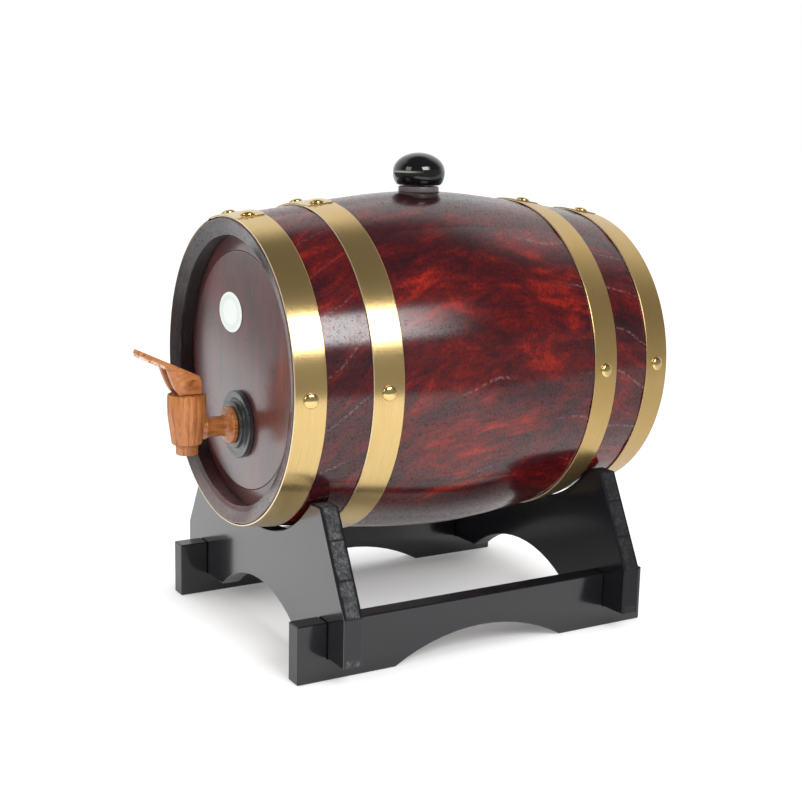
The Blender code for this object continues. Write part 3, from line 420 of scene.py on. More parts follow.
def paintTap(stretch, shift):
    # stretch flattens the noise along the moulding's flow
    look = tapPlastic

    def paint(graph):
        x, y, z = graph.place()
        a, b, c = x * stretch[0] + shift, y * stretch[1], z * stretch[2]
        flow = graph.noise(a, b, c, *look["flowNoise"])
        fine = graph.noise(a, b, c, *look["fineNoise"])
        stops = ((0.34, look["dark"]), (0.47, look["middle"]), (0.56, look["middle"]), (0.70, look["light"]))
        colour = graph.ramp(flow * 0.75 + fine * 0.25, *stops)
        streak = graph.spots(a * 1.5, b * 1.5, c * 1.5, *look["streaks"])
        colour = graph.mix(streak * 0.55, colour, look["dark"])
        rough = fine * 0.14 + streak * 0.10 + 0.22
        relief = graph.bump(flow + fine * 0.4, look["relief"])
        return {"Base Color": colour, "Roughness": rough, "Normal": relief}

    return paint


def paintLever(graph):
    # the tap's plastic, with pale flecks painted along the lower edge of the paddle as a painted reflection
    painted = paintTap((1.0, 0.22, 0.5), 0.9)(graph)
    x, y, z = graph.place()
    forward = tap["y"] - y
    over = (z - tap["pinZ"]) * cos(slope) - forward * sin(slope)
    pale = graph.step(over, *tapPlastic["sheenOver"]) * graph.step(forward, *tapPlastic["sheenForward"])
    fleck = graph.spots(x, y, z, *tapPlastic["flecks"])
    painted["Base Color"] = graph.mix(pale * fleck * 0.75, painted["Base Color"], tapPlastic["rubbedAndSheen"])
    return painted


def paintCloud(noise, first, second, strength, roughSpan, roughLeast):
    # two colours and a roughness that drift with one noise
    def paint(graph):
        cloud = graph.noise(*graph.place(), *noise)
        colour = graph.mix(cloud * strength, first, second)
        return {"Base Color": colour, "Roughness": cloud * roughSpan + roughLeast}

    return paint


# Pale oval label with a plain ring
labelPrint = {
    "middle": (-0.0137, 0.1998), "half": (0.0165, 0.01225), "card": (0.86, 0.91, 0.88),
    "ring": (0.66, 0.77, 0.71), "ringFrom": (0.60, 0.66), "ringTo": (0.90, 0.84), "fleckNoise": (900.0, 2),
}


def paintLabel(graph):
    look = labelPrint
    x, y, z = graph.place()
    u = (x - look["middle"][0]) / look["half"][0]
    v = (z - look["middle"][1]) / look["half"][1]
    reach = (u * u + v * v).math("SQRT")
    ring = graph.step(reach, *look["ringFrom"]) * graph.step(reach, *look["ringTo"])
    fleck = graph.noise(x, y, z, *look["fleckNoise"])
    colour = graph.mix(ring * (fleck * 0.7 + 0.3), look["card"], look["ring"])
    return {"Base Color": colour, "Roughness": fleck * 0.1 + 0.30}


def lacquer(roughness, ior, below):
    # a clear coat over a base that hardly shines itself
    return {"Coat Weight": 1.0, "Coat Roughness": roughness, "Coat IOR": ior, "Specular IOR Level": below}


# Metals and clouded finishes
tapGloss = {"Coat Weight": 0.2}
rubberGloss = {"Coat Weight": 0.6, "Coat Roughness": 0.15}
metal = {"Metallic": 1.0}

paintRivets = paintCloud((700.0, 3), (0.86, 0.66, 0.30), (0.60, 0.40, 0.14), 0.6, 0.12, 0.10)
paintStopper = paintCloud((300.0, 3), (0.076, 0.060, 0.058), (0.134, 0.108, 0.103), 1, 0.2, 0.30)
paintRubber = paintCloud((420.0, 4), (0.016, 0.017, 0.018), (0.040, 0.043, 0.045), 1, 0.16, 0.20)
paintSteel = paintCloud((800.0, 3), (0.50, 0.50, 0.52), (0.70, 0.70, 0.72), 1, 0.2, 0.15)

finishes = {
    "mahogany_stain": makeFinish("staveStain", lacquer(0.17, 1.62, 0.0), paintStaves),
    "head_stain": makeFinish("headStain", lacquer(0.23, 1.88, 0.2), paintHeads),
    "brushed_brass": makeFinish("hoopBrass", {"Metallic": 0.93}, paintHoops),
    "brass_rivet": makeFinish("rivetBrass", metal, paintRivets),
    "black_paint": makeFinish("railPaint", lacquer(0.15, 1.50, 0.1), paintBoards(0)),
    "saddle_paint": makeFinish("saddlePaint", lacquer(0.13, 1.76, 0.1), paintBoards(1)),
    "black_gloss": makeFinish("knobGloss", lacquer(0.04, 1.52, 0.1), paintKnob),
    "grey_silicone": makeFinish("stopperSilicone", {}, paintStopper),
    "wood_plastic": makeFinish("barrelPlastic", tapGloss, paintTap((1.0, 1.0, 0.12), 0.0)),
    "arm_plastic": makeFinish("armPlastic", tapGloss, paintTap((1.0, 0.12, 1.0), 0.4)),
    "lever_plastic": makeFinish("leverPlastic", tapGloss, paintLever),
    "black_rubber": makeFinish("flangeRubber", rubberGloss, paintRubber),
    "spring_steel": makeFinish("springSteel", metal, paintSteel),
    "pale_label": makeFinish("labelFilm", {}, paintLabel),
}
slotOf = {row["node"]: row["material_slot"] for row in frame["record"]["subparts"]}
for name, node in nodes.items():
    finish = finishes["saddle_paint" if name.endswith("saddle") else slotOf[name]]
    node.data.materials.clear()
    node.data.materials.append(finish)
print("finishes made:", len(finishes))


def addPiece(name, mesh, finish, node=None, place=None, body="cask"):
    # a finished mesh on its body, in place of a node
    made = showObject(name, mesh)
    if place is not None:
        mesh.transform(place)
    mesh.materials.clear()
    mesh.materials.append(finishes[finish])
    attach(made, body)
    if node:
        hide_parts(node)
    return made


def finishMesh(name, form, angle=40):
    bmesh.ops.recalc_face_normals(form, faces=form.faces)
    mesh = bpy.data.meshes.new(name)
    form.to_mesh(mesh)
    form.free()
    return smoothed(mesh, angle)


def smoothed(mesh, angle):
    # smooth but for edges sharper than the angle
    mesh.shade_smooth()
    mesh.set_sharp_from_angle(angle=radians(angle))
    return mesh


def turnedMesh(name, profile, steps, closed=False, angle=40):
    # a profile of (radius, height) pairs turned about Z
    form = bmesh.new()
    points = [form.verts.new((radius, 0, height)) for radius, height in profile]
    nexts = points[1:] + (points[:1] if closed else [])
    edges = [form.edges.new(pair) for pair in zip(points, nexts)]
    whole = {"cent": (0, 0, 0), "axis": (0, 0, 1), "angle": 2 * pi}
    bmesh.ops.spin(form, geom=points + edges, steps=steps, **whole)
    bmesh.ops.remove_doubles(form, verts=form.verts, dist=0.000004)
    return finishMesh(name, form, angle)


def skinMesh(name, rings, angle):
    # a closed skin over rings of points, capped at both ends
    form = bmesh.new()
    rings = [[form.verts.new(point) for point in ring] for ring in rings]
    for first, second in zip(rings, rings[1:]):
        for i in range(len(first)):
            j = (i + 1) % len(first)
            form.faces.new((first[i], first[j], second[j], second[i]))
    form.faces.new(rings[0])
    form.faces.new(rings[-1][::-1])
    return finishMesh(name, form, angle)


def spread(first, last, parts):
    # evenly spaced values with both ends
    return [first + (last - first) * i / parts for i in range(parts + 1)]


def rounded(corners, reach, parts=3):
    # a profile whose corners are rounded by the given reach
    points = []
    for index, (corner, cut) in enumerate(zip(corners, reach)):
        here = Vector(corner)
        if not cut:
            points.append(tuple(here))
            continue
        before, after = Vector(corners[index - 1]), Vector(corners[(index + 1) % len(corners)])
        start = here + (before - here).normalized() * cut
        end = here + (after - here).normalized() * cut
        for t in spread(0, 1, parts):
            points.append(tuple(start * (1 - t) ** 2 + here * 2 * t * (1 - t) + end * t ** 2))
    return points


def caskRadius(along):
    # the staves' outer radius, a blunted cone towards each end
    t, c = along / cask["halfLength"], cask["roundness"]
    drop = (sqrt(t * t + c * c) - c) / (sqrt(1 + c * c) - c)
    return cask["bellyRadius"] - (cask["bellyRadius"] - cask["endRadius"]) * drop


def caskPoint(radius, along, angle):
    return radius * cos(angle), middleY + along, axisZ + radius * sin(angle)


def overMiddle(height):
    return Matrix.Translation((0, middleY, height))


# Staves, smooth all round; the end faces lean in towards the heads
staveForm = {
    "bevel": 0.0009, "blunt": 0.3, "slope": 0.0033, "seam": 0.00006, "flat": 0.0042,
    "steps": 10, "length": 30, "sharp": 32,
}


def staveProfile():
    half, wall, bevel, length = cask["halfLength"], cask["wall"], staveForm["bevel"], staveForm["length"]
    blunt = bevel * staveForm["blunt"]
    ys = spread(-half, half, length)[1:-1]
    outer = [(cask["endRadius"] - bevel, -half), (cask["endRadius"] - blunt, -half + blunt)]
    outer += [(caskRadius(half - bevel), -half + bevel)] + [(caskRadius(y), y) for y in ys]
    outer += [(r, -y) for r, y in reversed(outer[:3])]
    lip = half - staveForm["slope"]
    inside = cask["endRadius"] - wall
    end = [(inside + bevel, lip + blunt), (inside + blunt, lip), (inside, lip - bevel)]
    # the croze that holds the head's tongue
    border, tongue = cask["border"] + gap, cask["tongueBack"] - gap
    mouth, floor = caskRadius(border) - wall, caskRadius(border) - wall + cask["croze"]
    end += [(mouth, border), (floor, border), (floor, tongue), (caskRadius(tongue) - wall, tongue)]
    inner = [(caskRadius(y) - wall, y) for y in reversed(ys[3:-3])]
    return outer + end + inner + [(r, -y) for r, y in reversed(end)]


def staveMesh(name, degrees):
    whole = 2 * pi / cask["staves"] - staveForm["seam"] / cask["endRadius"]
    profile = staveProfile()
    rings = []
    for off in spread(-0.5, 0.5, staveForm["steps"]):
        a = radians(degrees) + whole * off
        share = 1 - staveForm["flat"] * 4 * off * off
        rings.append([caskPoint(r * share, y, a) for r, y in profile])
    return skinMesh(name, rings, staveForm["sharp"])


def withHoles(mesh, tools):
    # the mesh with each tool mesh cut out of it
    body, *cutters = [showObject("cut", item) for item in (mesh, *tools)]
    for cutter in cutters:
        step = body.modifiers.new("cut", "BOOLEAN")
        step.operation = "DIFFERENCE"
        step.object = cutter
    bpy.context.view_layer.update()
    made = bpy.data.meshes.new_from_object(body.evaluated_get(bpy.context.evaluated_depsgraph_get()))
    for item in (body, *cutters):
        bpy.data.objects.remove(item)
    return smoothed(made, staveForm["sharp"])


bungHole = {"seatZ": 0.2719, "seat": 0.0134, "hole": 0.011, "reach": 0.03}


def bungTools():
    # the through hole, and the wider flat seat above it
    seatZ, high = bungHole["seatZ"], bungHole["seatZ"] + bungHole["reach"]
    tools = []
    for radius, low in ((bungHole["hole"], seatZ - bungHole["reach"]), (bungHole["seat"], seatZ)):
        tool = turnedMesh("bungTool", [(0, low), (radius, low), (radius, high), (0, high)], 48)
        tool.transform(overMiddle(0))
        tools.append(tool)
    return tools


for number in range(1, cask["staves"] + 1):
    name = "bung_stave" if number == 1 else f"stave_{number:02d}"
    mesh = staveMesh(name, 90 - 360 * (number - 1) / cask["staves"])
    if number == 1:
        mesh = withHoles(mesh, bungTools())
    addPiece(f"{name}_smooth", mesh, "mahogany_stain", name)
print("staves made")


# Hoops, each a lapped strip with eased edges
hoop = {
    "width": 0.0185, "thick": 0.00055, "outer": 0.12235, "inner": 0.07665, "lap": 0.039, "step": 0.005,
    "ease": 0.00016, "segments": 168, "stepSegments": 6, "lapSegments": 10, "nip": 0.00005,
    "tip": 0.0025, "tipNarrow": 0.09, "sink": 0.8, "sharp": 12, "rivetEdge": 0.0056, "rivetPitch": 0.0275,
}
# middle along the cask, angle of the visible end, angle of the right nail
hoopRows = {"front_outer_hoop": (-hoop["outer"], 80.5, -1.2), "front_inner_hoop": (-hoop["inner"], 82.0, 0),
            "rear_inner_hoop": (hoop["inner"], 83.5, 1.5), "rear_outer_hoop": (hoop["outer"], 81.0, 1.7)}


def hoopMesh(name, middle, endDegrees):
    # the strip runs round under its own visible end, climbing one thickness just before it
    radius = caskRadius(middle) + gap
    begin = radians(endDegrees) + hoop["lap"] / radius
    whole = 2 * pi + hoop["lap"] / radius
    climbTo = whole - (hoop["lap"] + hoop["nip"]) / radius
    climbFrom = climbTo - hoop["step"] / radius
    turns = spread(0, climbFrom, hoop["segments"])
    turns += spread(climbFrom, climbTo, hoop["stepSegments"])[1:]
    turns += spread(climbTo, whole, hoop["lapSegments"])[1:]
    half, thick, ease = hoop["width"] / 2, hoop["thick"], hoop["ease"]
    corners = [(-half, 0), (half, 0), (half, thick), (-half, thick)]
    section = rounded(corners, (ease, ease, 2 * ease, 2 * ease), 2)
    rings = []
    for turn in turns:
        t = min(max((turn - climbFrom) / (climbTo - climbFrom), 0), 1)
        climb = (thick + hoop["nip"]) * t * t * (3 - 2 * t)
        left = (whole - turn) * radius
        narrow = 1 - hoop["tipNarrow"] * max(0, 1 - left / hoop["tip"]) ** 2
        ring = []
        for across, height in section:
            # the inner edge closes most of the gap to the staves
            sink = gap * hoop["sink"] * (1 - t) * max(0, 1 - height / thick)
            r = caskRadius(middle + across) + gap + climb + height - sink
            ring.append(caskPoint(r, middle + across * narrow, begin - turn))
        rings.append(ring)
    return skinMesh(name, rings, hoop["sharp"])


# Domed rivets and nails
rivet = {"radius": 0.0044, "height": 0.00175, "stub": 0.0008, "shank": 0.0014, "full": 0.9,
         "rim": 0.00025, "under": 0.00004}


def rivetMesh(name):
    radius, shank = rivet["radius"], rivet["shank"]
    profile = [(radius * sin(a), rivet["height"] * cos(a) ** rivet["full"] + rivet["rim"])
               for a in spread(0, pi / 2, 9)[:-1]]
    profile += [(radius, rivet["rim"]), (radius, rivet["under"]), (shank, rivet["under"])]
    profile += [(shank, -rivet["stub"]), (0, -rivet["stub"])]
    return turnedMesh(name, profile, 24)


def rivetPlace(middle, degrees, lift):
    # on the hoop's slope, standing straight out from it
    y0, y1 = middle - hoop["width"] / 2, middle + hoop["width"] / 2
    r0, r1 = caskRadius(y0) + gap, caskRadius(y1) + gap
    taper = atan2(r0 - r1, hoop["width"])
    r, a = (r0 + r1) / 2 + lift, radians(degrees)
    outward = Vector((cos(taper) * cos(a), sin(taper), cos(taper) * sin(a)))
    turned = outward.to_track_quat("Z", "Y").to_matrix().to_4x4()
    return Matrix.Translation(caskPoint(r, middle, a)) @ turned


for name, (middle, endDegrees, nail) in hoopRows.items():
    addPiece(f"{name}_strip", hoopMesh(name, middle, endDegrees), "brushed_brass", name)
    perMetre = 180 / pi / (caskRadius(middle) + gap)
    # rivets pass both layers of the lap, nails only one
    spots = (("rivet_1", endDegrees + hoop["rivetEdge"] * perMetre, 2), ("right_nail", nail, 1),
             ("left_nail", 180 - nail, 1),
             ("rivet_2", endDegrees + (hoop["rivetEdge"] + hoop["rivetPitch"]) * perMetre, 2))
    for part, degrees, layers in spots:
        lift = layers * hoop["thick"] + (layers - 1) * hoop["nip"]
        addPiece(f"{name}_{part}_dome", rivetMesh(part), "brass_rivet", f"{name}_{part}",
                 rivetPlace(middle, degrees, lift))
print("hoops and rivets made")


# Heads, turned with an eased field edge
headForm = {
    "back": 0.1093, "borderWidth": 0.0112, "backBevel": 0.008, "quirkIn": 0.0003, "quirkDown": 0.0006,
    "ease": (0, 0.0005, 0.0002, 0, 0, 0, 0, 0, 0), "steps": 160,
}
headEdge = caskRadius(cask["border"]) - cask["wall"]
headReach = headEdge + cask["croze"] - gap
fieldEdge = headEdge - headForm["borderWidth"]
headCorners = [
    (0, cask["field"]), (fieldEdge, cask["field"]),
    (fieldEdge + headForm["quirkIn"], cask["field"] - headForm["quirkDown"]),
    (headEdge - 2 * gap, cask["border"]), (headReach, cask["border"]),
    (headReach, cask["tongueBack"]), (headEdge - 2 * gap, cask["tongueBack"]),
    (headEdge - headForm["backBevel"], headForm["back"]), (0, headForm["back"]),
]
headProfile = rounded(headCorners, headForm["ease"])
for name, side in (("front_head", 1), ("rear_head", -1)):
    place = overMiddle(axisZ) @ Matrix.Rotation(side * pi / 2, 4, "X")
    addPiece(f"{name}_board", turnedMesh(name, headProfile, headForm["steps"]), "head_stain", name, place)
print("heads made")


# Boards of the stand, with eased arrises
boardForm = {"ease": 0.0007, "corner": 28, "sharp": 20}


def easedBoard(name):
    form = bmesh.new()
    form.from_mesh(nodes[name].data)
    bmesh.ops.remove_doubles(form, verts=form.verts, dist=0.00001)
    between = {e: e.calc_face_angle() for e in form.edges if len(e.link_faces) == 2}
    sharp = [e for e, angle in between.items() if angle > radians(boardForm["corner"])]
    flat = [e for e, angle in between.items() if angle < 0.0005]
    bmesh.ops.dissolve_edges(form, edges=flat, use_verts=False)
    sharp = [e for e in sharp if e.is_valid]
    bmesh.ops.bevel(form, geom=sharp, offset=boardForm["ease"], segments=2, profile=0.5, affect="EDGES",
                    clamp_overlap=True)
    return finishMesh(name, form, boardForm["sharp"])


for name in ("right_rail", "left_rail", "front_saddle", "rear_saddle"):
    finish = "saddle_paint" if name.endswith("saddle") else "black_paint"
    addPiece(f"{name}_eased", easedBoard(name), finish, name, body="stand")
print("boards eased")


# Label, a thin domed card; its profile is in shares of its reach and thickness
labelForm = {"thick": 0.0004, "edge": ((0, 1), (0.96, 1), (0.99, 0.8), (1.0, 0), (0, 0))}
labelProfile = [(reach, labelForm["thick"] * share) for reach, share in labelForm["edge"]]
oval = Matrix.Diagonal((*labelPrint["half"], 1, 1))
labelY = middleY - (cask["field"] + gap)
labelPlace = Matrix.Translation((labelPrint["middle"][0], labelY, labelPrint["middle"][1]))
addPiece("label_card", turnedMesh("label", labelProfile, 64), "pale_label", "label",
         labelPlace @ Matrix.Rotation(pi / 2, 4, "X") @ oval)


# Bung: gloss knob on a soft stopper
knob = {
    "radius": 0.01645, "foot": 0.0125, "height": 0.0204, "skirt": 0.42, "flange": 0.0038,
    "domeTurn": 87, "seam": 0.0003, "seamDepth": 0.00004, "full": 0.9, "footEase": 0.0008,
    "peg": 0.004, "pegLength": 0.011,
}
knobBase = bungHole["seatZ"] + knob["flange"] + 3 * gap


def knobProfile():
    radius, foot, seam = knob["radius"], knob["foot"], knob["seam"]
    skirt = knob["height"] * knob["skirt"]
    dome = knob["height"] - skirt
    turns = spread(0, radians(knob["domeTurn"]), 18)
    points = [(radius * sin(a), skirt + dome * cos(a)) for a in turns]
    points += [(radius, skirt + seam), (radius - knob["seamDepth"], skirt), (radius, skirt - seam)]
    for a in spread(0, pi / 2, 12)[1:]:
        out = foot + (radius - foot) * cos(a) ** knob["full"]
        points.append((out, (skirt - seam) * (1 - sin(a))))
    return points + [(foot - knob["footEase"], 0), (knob["peg"], 0), (knob["peg"], -knob["pegLength"]),
                     (0, -knob["pegLength"])]


addPiece("knob_cap", turnedMesh("knob", knobProfile(), 72, angle=60), "black_gloss", "bung_knob",
         overMiddle(knobBase), "bung")

stopper = {
    "flange": 0.0128, "top": 0.0038, "plug": 0.010, "taper": 0.0008, "length": 0.016,
    "ease": (0, 0.0009, 0.0007, 0), "endEase": 0.001,
    "ribShares": (0.35, 0.7), "rib": 0.0006, "ribHalf": 0.0007,
}


def stopperProfile():
    # the flange above, then the tapered plug with its ribs
    flange, plug, length = stopper["flange"], stopper["plug"], stopper["length"]
    corners = [(0, stopper["top"]), (flange, stopper["top"]), (flange, 0), (plug, 0)]
    points = rounded(corners, stopper["ease"])
    for share in stopper["ribShares"]:
        body = plug - stopper["taper"] * share
        points += [(body + stopper["rib"] * sin(a), -length * share + stopper["ribHalf"] * cos(a))
                   for a in spread(0, pi, 6)]
    end = plug - stopper["taper"]
    return points + [(end, -length + stopper["endEase"]), (end - stopper["endEase"], -length), (0, -length)]


addPiece("stopper_plug", turnedMesh("stopper", stopperProfile(), 56), "grey_silicone", "bung_stopper",
         overMiddle(bungHole["seatZ"] + gap), "bung")
print("bung made")


# Tap body: fluted barrel with its nozzle. The shape is in shares of height and radius, and the small
# steps go out and up
barrel = {
    "radius": 0.01155, "rise": 0.0211, "drop": 0.0088, "flutes": 14, "depth": 0.00060, "nozzle": 0.0066,
    "bore": 0.0052, "length": 0.0065, "bonnet": 0.0090, "seat": 0.0065, "groove": 0.28, "grooveRound": 1.6,
    "flutesOutside": 0.0006, "flutesBelow": 0.0001,
    "shape": ((0.0, 0.955), (0.012, 0.985), (0.05, 0.995), (0.2, 1.0), (0.38, 0.99), (0.52, 0.95),
              (0.66, 0.90), (0.80, 0.85), (0.93, 0.80), (0.98, 0.785), (1.0, 0.755)),
    "rim": ((0, -0.005), (0, -0.0002), (0.0003, 0)),
    "bead": ((0.0003, 0), (0.00045, -0.0005), (0.00035, -0.0011), (0, -0.0014)),
    "lip": ((0, 0.0006), (-0.0003, 0.0001), (-0.0007, 0)), "mouth": ((0.0003, 0), (0, 0.0004)),
}


def stepped(radius, height, steps):
    # points out and up from one place
    return [(radius + out, height + up) for out, up in steps]


def barrelMesh():
    whole = barrel["rise"] + barrel["drop"]
    end = -barrel["drop"] - barrel["length"]
    profile = stepped(barrel["bonnet"], barrel["rise"], barrel["rim"])
    profile += [(barrel["radius"] * r, barrel["rise"] - whole * h) for h, r in barrel["shape"]]
    profile += stepped(barrel["nozzle"], -barrel["drop"], barrel["bead"])
    profile += stepped(barrel["nozzle"], end, barrel["lip"]) + stepped(barrel["bore"], end, barrel["mouth"])
    profile += [(barrel["bore"], -barrel["seat"]), (0, -barrel["seat"])]
    mesh = turnedMesh("barrel", profile, barrel["flutes"] * 10, angle=38)
    pitch = 2 * pi / barrel["flutes"]
    for vertex in mesh.vertices:
        radius = hypot(vertex.co.x, vertex.co.y)
        off = (atan2(vertex.co.y, vertex.co.x) / pitch) % 1
        groove = max(0.0, 1 - abs(off - 0.5) / barrel["groove"]) ** barrel["grooveRound"]
        # the nozzle and the top stay round
        outside = radius > barrel["nozzle"] + barrel["flutesOutside"]
        if outside and vertex.co.z < barrel["rise"] - barrel["flutesBelow"]:
            share = (radius - barrel["depth"] * groove) / radius
            vertex.co.x *= share
            vertex.co.y *= share
    return mesh


tapCentre = Matrix.Translation((0, tap["y"], tap["z"]))
intoHead = tapCentre @ Matrix.Rotation(-pi / 2, 4, "X")
addPiece("tap_barrel", barrelMesh(), "wood_plastic", "tap_body", tapCentre)

# Pipe, collar and threaded shank, turned about the pipe's axis
arm = {
    "pipe": 0.0060, "collar": 0.0114, "face": 0.0250, "back": 0.0284, "shank": 0.0070, "end": 0.0595,
    "threadFrom": 0.0495, "thread": 0.0015, "threadDepth": 0.0006, "bore": 0.0038, "boreDepth": 0.006,
    "root": ((-0.0002, 0.0075), (0.0014, 0.0108), (0, 0.0135)), "cove": ((0, -0.0028), (0.0008, -0.0007)),
    "collarIn": 0.0012, "collarBack": 0.0009,
    "ease": (0, 0.0008, 0.0009, 0.0008, 0.0010, 0.0006, 0.0006, 0.0004, 0),
}


def armProfile():
    collar, face, shank, end = arm["collar"], arm["face"], arm["shank"], arm["end"]
    corners = stepped(arm["pipe"], 0, arm["root"]) + stepped(arm["pipe"], face, arm["cove"])
    corners += [(collar - arm["collarIn"], face), (collar, face + arm["collarBack"]), (collar, arm["back"]),
                (shank, arm["back"])]
    points = rounded(corners, arm["ease"])
    low = shank - arm["threadDepth"]
    for i in range(int((end - arm["threadFrom"]) / arm["thread"])):
        at = arm["threadFrom"] + i * arm["thread"]
        points += [(low, at), (shank, at + arm["thread"] / 2)]
    deep = end - arm["boreDepth"]
    return points + [(low, end), (arm["bore"], end), (arm["bore"], deep), (0, deep)]


addPiece("tap_arm", turnedMesh("arm", armProfile(), 48, angle=35), "arm_plastic", None, intoHead)

# Black flange washer with a raised ring
flange = {
    "outer": 0.0205, "inner": 0.0073, "back": 0.0344, "front": 0.0311,
    "stepRadius": 0.0145, "stepFront": 0.0287, "coveOut": 0.0022, "coveBack": 0.0004,
    "ease": (0, 0.0003, 0.0008, 0.0006, 0.0003, 0.0007, 0),
}
flangeCorners = [
    (flange["inner"], flange["back"]), (flange["outer"], flange["back"]), (flange["outer"], flange["front"]),
    (flange["stepRadius"] + flange["coveOut"], flange["front"] + flange["coveBack"]),
    (flange["stepRadius"], flange["front"]), (flange["stepRadius"], flange["stepFront"]),
    (flange["inner"], flange["stepFront"]),
]
flangeMesh = turnedMesh("flange", rounded(flangeCorners, flange["ease"]), 72, closed=True)
addPiece("tap_flange_ring", flangeMesh, "black_rubber", "tap_flange", intoHead)
print("tap made")


# Lever: two cheeks under a paddle; lengths are from the pin
lever = {
    "reach": 0.0323, "rise": 0.0217, "thick": 0.0027, "width": 0.0172, "back": 0.0160,
    "foot": 0.0066, "footBack": 0.0066, "footFront": 0.0078, "frontReach": 0.0153, "cheek": 0.0038,
    "soft": 0.0014, "toe": 0.0006, "bow": 0.0009, "grip": 0.0016, "inset": 0.0003,
    "paddleEase": 0.0005, "gripEase": 0.0006, "cheekEase": 0.00035,
}


def prismForm(outline, thickness, ease, segments=2):
    # a flat outline given thickness about local Z, with eased edges
    form = bmesh.new()
    top = form.faces.new([form.verts.new((x, y, thickness / 2)) for x, y in outline])
    side = bmesh.ops.extrude_face_region(form, geom=[top])
    low = [g for g in side["geom"] if isinstance(g, bmesh.types.BMVert)]
    bmesh.ops.translate(form, verts=low, vec=(0, 0, -thickness))
    bmesh.ops.recalc_face_normals(form, faces=form.faces)
    rims = [e for e in form.edges if abs(e.verts[0].co.z - e.verts[1].co.z) < 1e-7]
    bmesh.ops.bevel(form, geom=rims, offset=ease, segments=segments, profile=0.5, affect="EDGES",
                    clamp_overlap=True)
    return form


def leverForms():
    thick, grip, cheek = lever["thick"], lever["grip"], lever["cheek"]
    overPin = lever["rise"] - lever["reach"] * tan(slope)
    behind = lever["footBack"] - lever["soft"]
    tipReach = lever["reach"] - thick / 2 * sin(slope)
    length = (tipReach + behind) / cos(slope)
    halfWide, halfBack = lever["width"] / 2, lever["back"] / 2

    def tongue(start, inset):
        # the paddle from above, from the given place forward to its round tip
        wide = halfWide - inset
        tip = [(length - halfWide + wide * cos(a), wide * sin(a))
               for a in spread(-pi / 2, pi / 2, 16)]
        return [(start, -halfBack + inset), *tip, (start, halfBack - inset)]

    # the paddle, and the thicker grip under its front
    top = overPin - behind * tan(slope)
    turned = Matrix.Rotation(-pi / 2, 4, "Z") @ Matrix.Rotation(-slope, 4, "Y")
    start = (lever["frontReach"] + behind - cheek / 4) / cos(slope)
    plates = ((tongue(0, 0), thick / 2, thick, lever["paddleEase"]),
              (tongue(start, lever["inset"]), thick * 0.75 + grip / 2, thick / 2 + grip, lever["gripEase"]))
    forms = []
    for outline, middle, depth, ease in plates:
        place = Matrix.Translation((0, behind, top - middle / cos(slope))) @ turned
        forms.append((prismForm(outline, depth, ease, 3), place))

    def inPaddle(forward):
        return overPin + forward * tan(slope) - thick * 0.4

    # a cheek from the side, bowed in front
    back, soft, foot, toe = -lever["footBack"], lever["soft"], -lever["foot"], lever["toe"]
    front, reach = lever["footFront"], lever["frontReach"]
    side = [(reach, inPaddle(reach)), (back + soft, inPaddle(back + soft)),
            (back + soft / 4, inPaddle(back) - soft / 3), (back, inPaddle(back) - soft), (back, foot + soft),
            (back + soft / 2, foot), (front - toe, foot), (front, foot + toe)]
    for t in spread(0, 1, 6)[1:-1]:
        bow = lever["bow"] * 4 * t * (1 - t)
        side.append((front + (reach - front) * t + bow, foot + (inPaddle(reach) - foot) * t))
    ahead, upright = Matrix.Rotation(-pi / 2, 4, "Z"), Matrix.Rotation(pi / 2, 4, "X")
    for sign in (-1, 1):
        place = Matrix.Translation((sign * (lever["back"] / 2 - cheek / 2), 0, 0)) @ ahead @ upright
        forms.append((prismForm(side, cheek, lever["cheekEase"]), place))
    return forms


joined = bmesh.new()
for form, place in leverForms():
    bmesh.ops.transform(form, matrix=place, verts=form.verts)
    part = bpy.data.meshes.new("leverPart")
    form.to_mesh(part)
    form.free()
    joined.from_mesh(part)
addPiece("lever_handle", finishMesh("lever", joined), "lever_plastic", "tap_lever",
         Matrix.Translation((0, tap["y"], tap["pinZ"])), "lever")
print("lever made")


# Valve spring, a copy of the node's coil with a mesh of its own
spring = addPiece("valve_coil", nodes["valve_spring"].data.copy(), "spring_steel", "valve_spring")
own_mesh(spring)
print("spring made")


# Floor, world and lamps. The right box fades out in strips: shift, width and radiance
studio = {
    "floorSize": 30.0, "floorDrop": 0.0002, "floorColour": (0.92, 0.92, 0.92), "glow": 1.32,
    "glowInside": 0.07, "glowOutside": 0.58,
    "shadeHalf": (0.10, 0.13), "shadeMiddleY": 0.024, "shadeEdge": 0.03,
    "edgeX": (0.75, 0.90), "frontY": (-0.50, -0.70), "rearY": (0.12, 0.42), "rearDark": 0.55,
    "roomGlossy": 0.10, "roomLow": 0.18, "lowFrom": (0.40, 0.05), "fill": 0.96,
    "sweepToward": (-0.86, 0.30), "sweep": (-0.05, 0.45), "sweepTop": (0.93, 0.76),
    "aimZ": 0.15, "away": 1.35,
    "rightBox": {"toward": (5, 32.5), "size": (0.52, 0.52), "shift": -0.15, "radiance": 11.0},
    "rightFades": ((0.145, 0.07, 8.4), (0.215, 0.07, 5.2), (0.285, 0.07, 2.4), (0.365, 0.09, 0.8)),
    "frontBox": {"toward": (-80, 27), "size": (0.55, 0.55), "shift": 0.0, "radiance": 2.9},
}


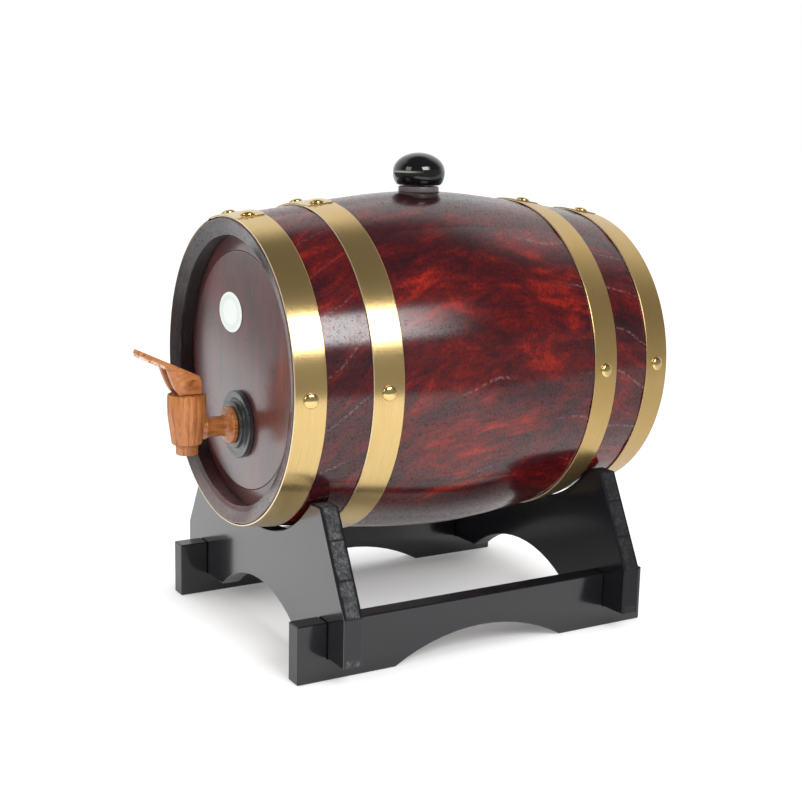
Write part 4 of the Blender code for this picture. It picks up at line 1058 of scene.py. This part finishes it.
def paintFloor(graph):
    paper = graph.node("ShaderNodeBsdfDiffuse", {}, {"Color": (*studio["floorColour"], 1)})
    glow = graph.node("ShaderNodeEmission", {}, {"Strength": studio["glow"]})
    dark = graph.node("ShaderNodeEmission", {}, {"Strength": studio["roomGlossy"] + studio["roomLow"]})
    seen, mirrored, through = graph.rays()
    x, y = graph.place()[:2]
    # the paper glows less under the cask
    halfX, halfY = studio["shadeHalf"]
    outside = (abs(x) - halfX).math("MAXIMUM", abs(y - studio["shadeMiddleY"]) - halfY)
    clear = graph.step(outside, -studio["shadeEdge"], studio["shadeEdge"])
    share = clear * (studio["glowOutside"] - studio["glowInside"]) + studio["glowInside"]
    # mirrors see it end on the right, in front and behind
    past = graph.step(x, *studio["edgeX"]).math("MAXIMUM", graph.step(y, *studio["frontY"]))
    past = past.math("MAXIMUM", graph.step(y, *studio["rearY"]) * studio["rearDark"])
    lit = graph.node("ShaderNodeMixShader", {}, {0: (seen + mirrored + through) * share, 1: paper, 2: glow})
    return graph.node("ShaderNodeMixShader", {}, {0: mirrored * past, 1: lit, 2: dark})


floorMesh = bpy.data.meshes.new("floor")
floorForm = bmesh.new()
bmesh.ops.create_grid(floorForm, x_segments=1, y_segments=1, size=studio["floorSize"])
floorForm.to_mesh(floorMesh)
floorForm.free()
floorObject = showObject("floor", floorMesh)
floorObject.location.z = -studio["floorDrop"]
floorFinish = bpy.data.materials.new("floorPaper")
floorFinish.use_nodes = True
floorTree = floorFinish.node_tree
floorTree.nodes.remove(floorTree.nodes["Principled BSDF"])
floorTree.links.new(paintFloor(Graph(floorTree)).socket, floorTree.nodes["Material Output"].inputs["Surface"])
floorMesh.materials.append(floorFinish)


def skyStrength(graph):
    # the sweep stands to the left and behind; mirrors see the dark room on the right and above
    direction = graph.place("Generated")
    behind = direction[0] * studio["sweepToward"][0] + direction[1] * studio["sweepToward"][1]
    wall = graph.step(behind, *studio["sweep"]) * graph.step(direction[2], *studio["sweepTop"])
    low = graph.step(direction[2], *studio["lowFrom"]) * studio["roomLow"] + studio["roomGlossy"]
    seen, mirrored, through = graph.rays()
    room = wall * (1 - low) + low
    return seen + through + mirrored * room + (1 - seen - mirrored - through) * studio["fill"]


world = bpy.data.worlds.new("studio")
bpy.context.scene.world = world
world.use_nodes = True
background = world.node_tree.nodes["Background"]
world.node_tree.links.new(skyStrength(Graph(world.node_tree)).socket, background.inputs["Strength"])
background.inputs["Color"].default_value = (1, 1, 1, 1)

lamps = {"rightBox": studio["rightBox"]}
for number, (shift, width, radiance) in enumerate(studio["rightFades"], 1):
    size = (width, studio["rightBox"]["size"][1])
    lamps[f"rightFade{number}"] = {**studio["rightBox"], "size": size, "shift": shift, "radiance": radiance}
lamps["frontBox"] = studio["frontBox"]

aim = Vector((0, middleY, studio["aimZ"]))
for name, lamp in lamps.items():
    heading, height = (radians(a) for a in lamp["toward"])
    level = cos(height)
    toward = Vector((cos(heading) * level, sin(heading) * level, sin(height)))
    data = bpy.data.lights.new(name, "AREA")
    data.shape = "RECTANGLE"
    data.size, data.size_y = lamp["size"]
    data.energy = lamp["radiance"] * pi * lamp["size"][0] * lamp["size"][1]
    box = showObject(name, data)
    aside = Vector((-sin(heading), cos(heading), 0))
    box.location = aim + toward * studio["away"] + aside * lamp["shift"]
    box.rotation_mode = "QUATERNION"
    box.rotation_quaternion = toward.to_track_quat("Z", "Y")
    box.visible_camera = False
print("studio lit")
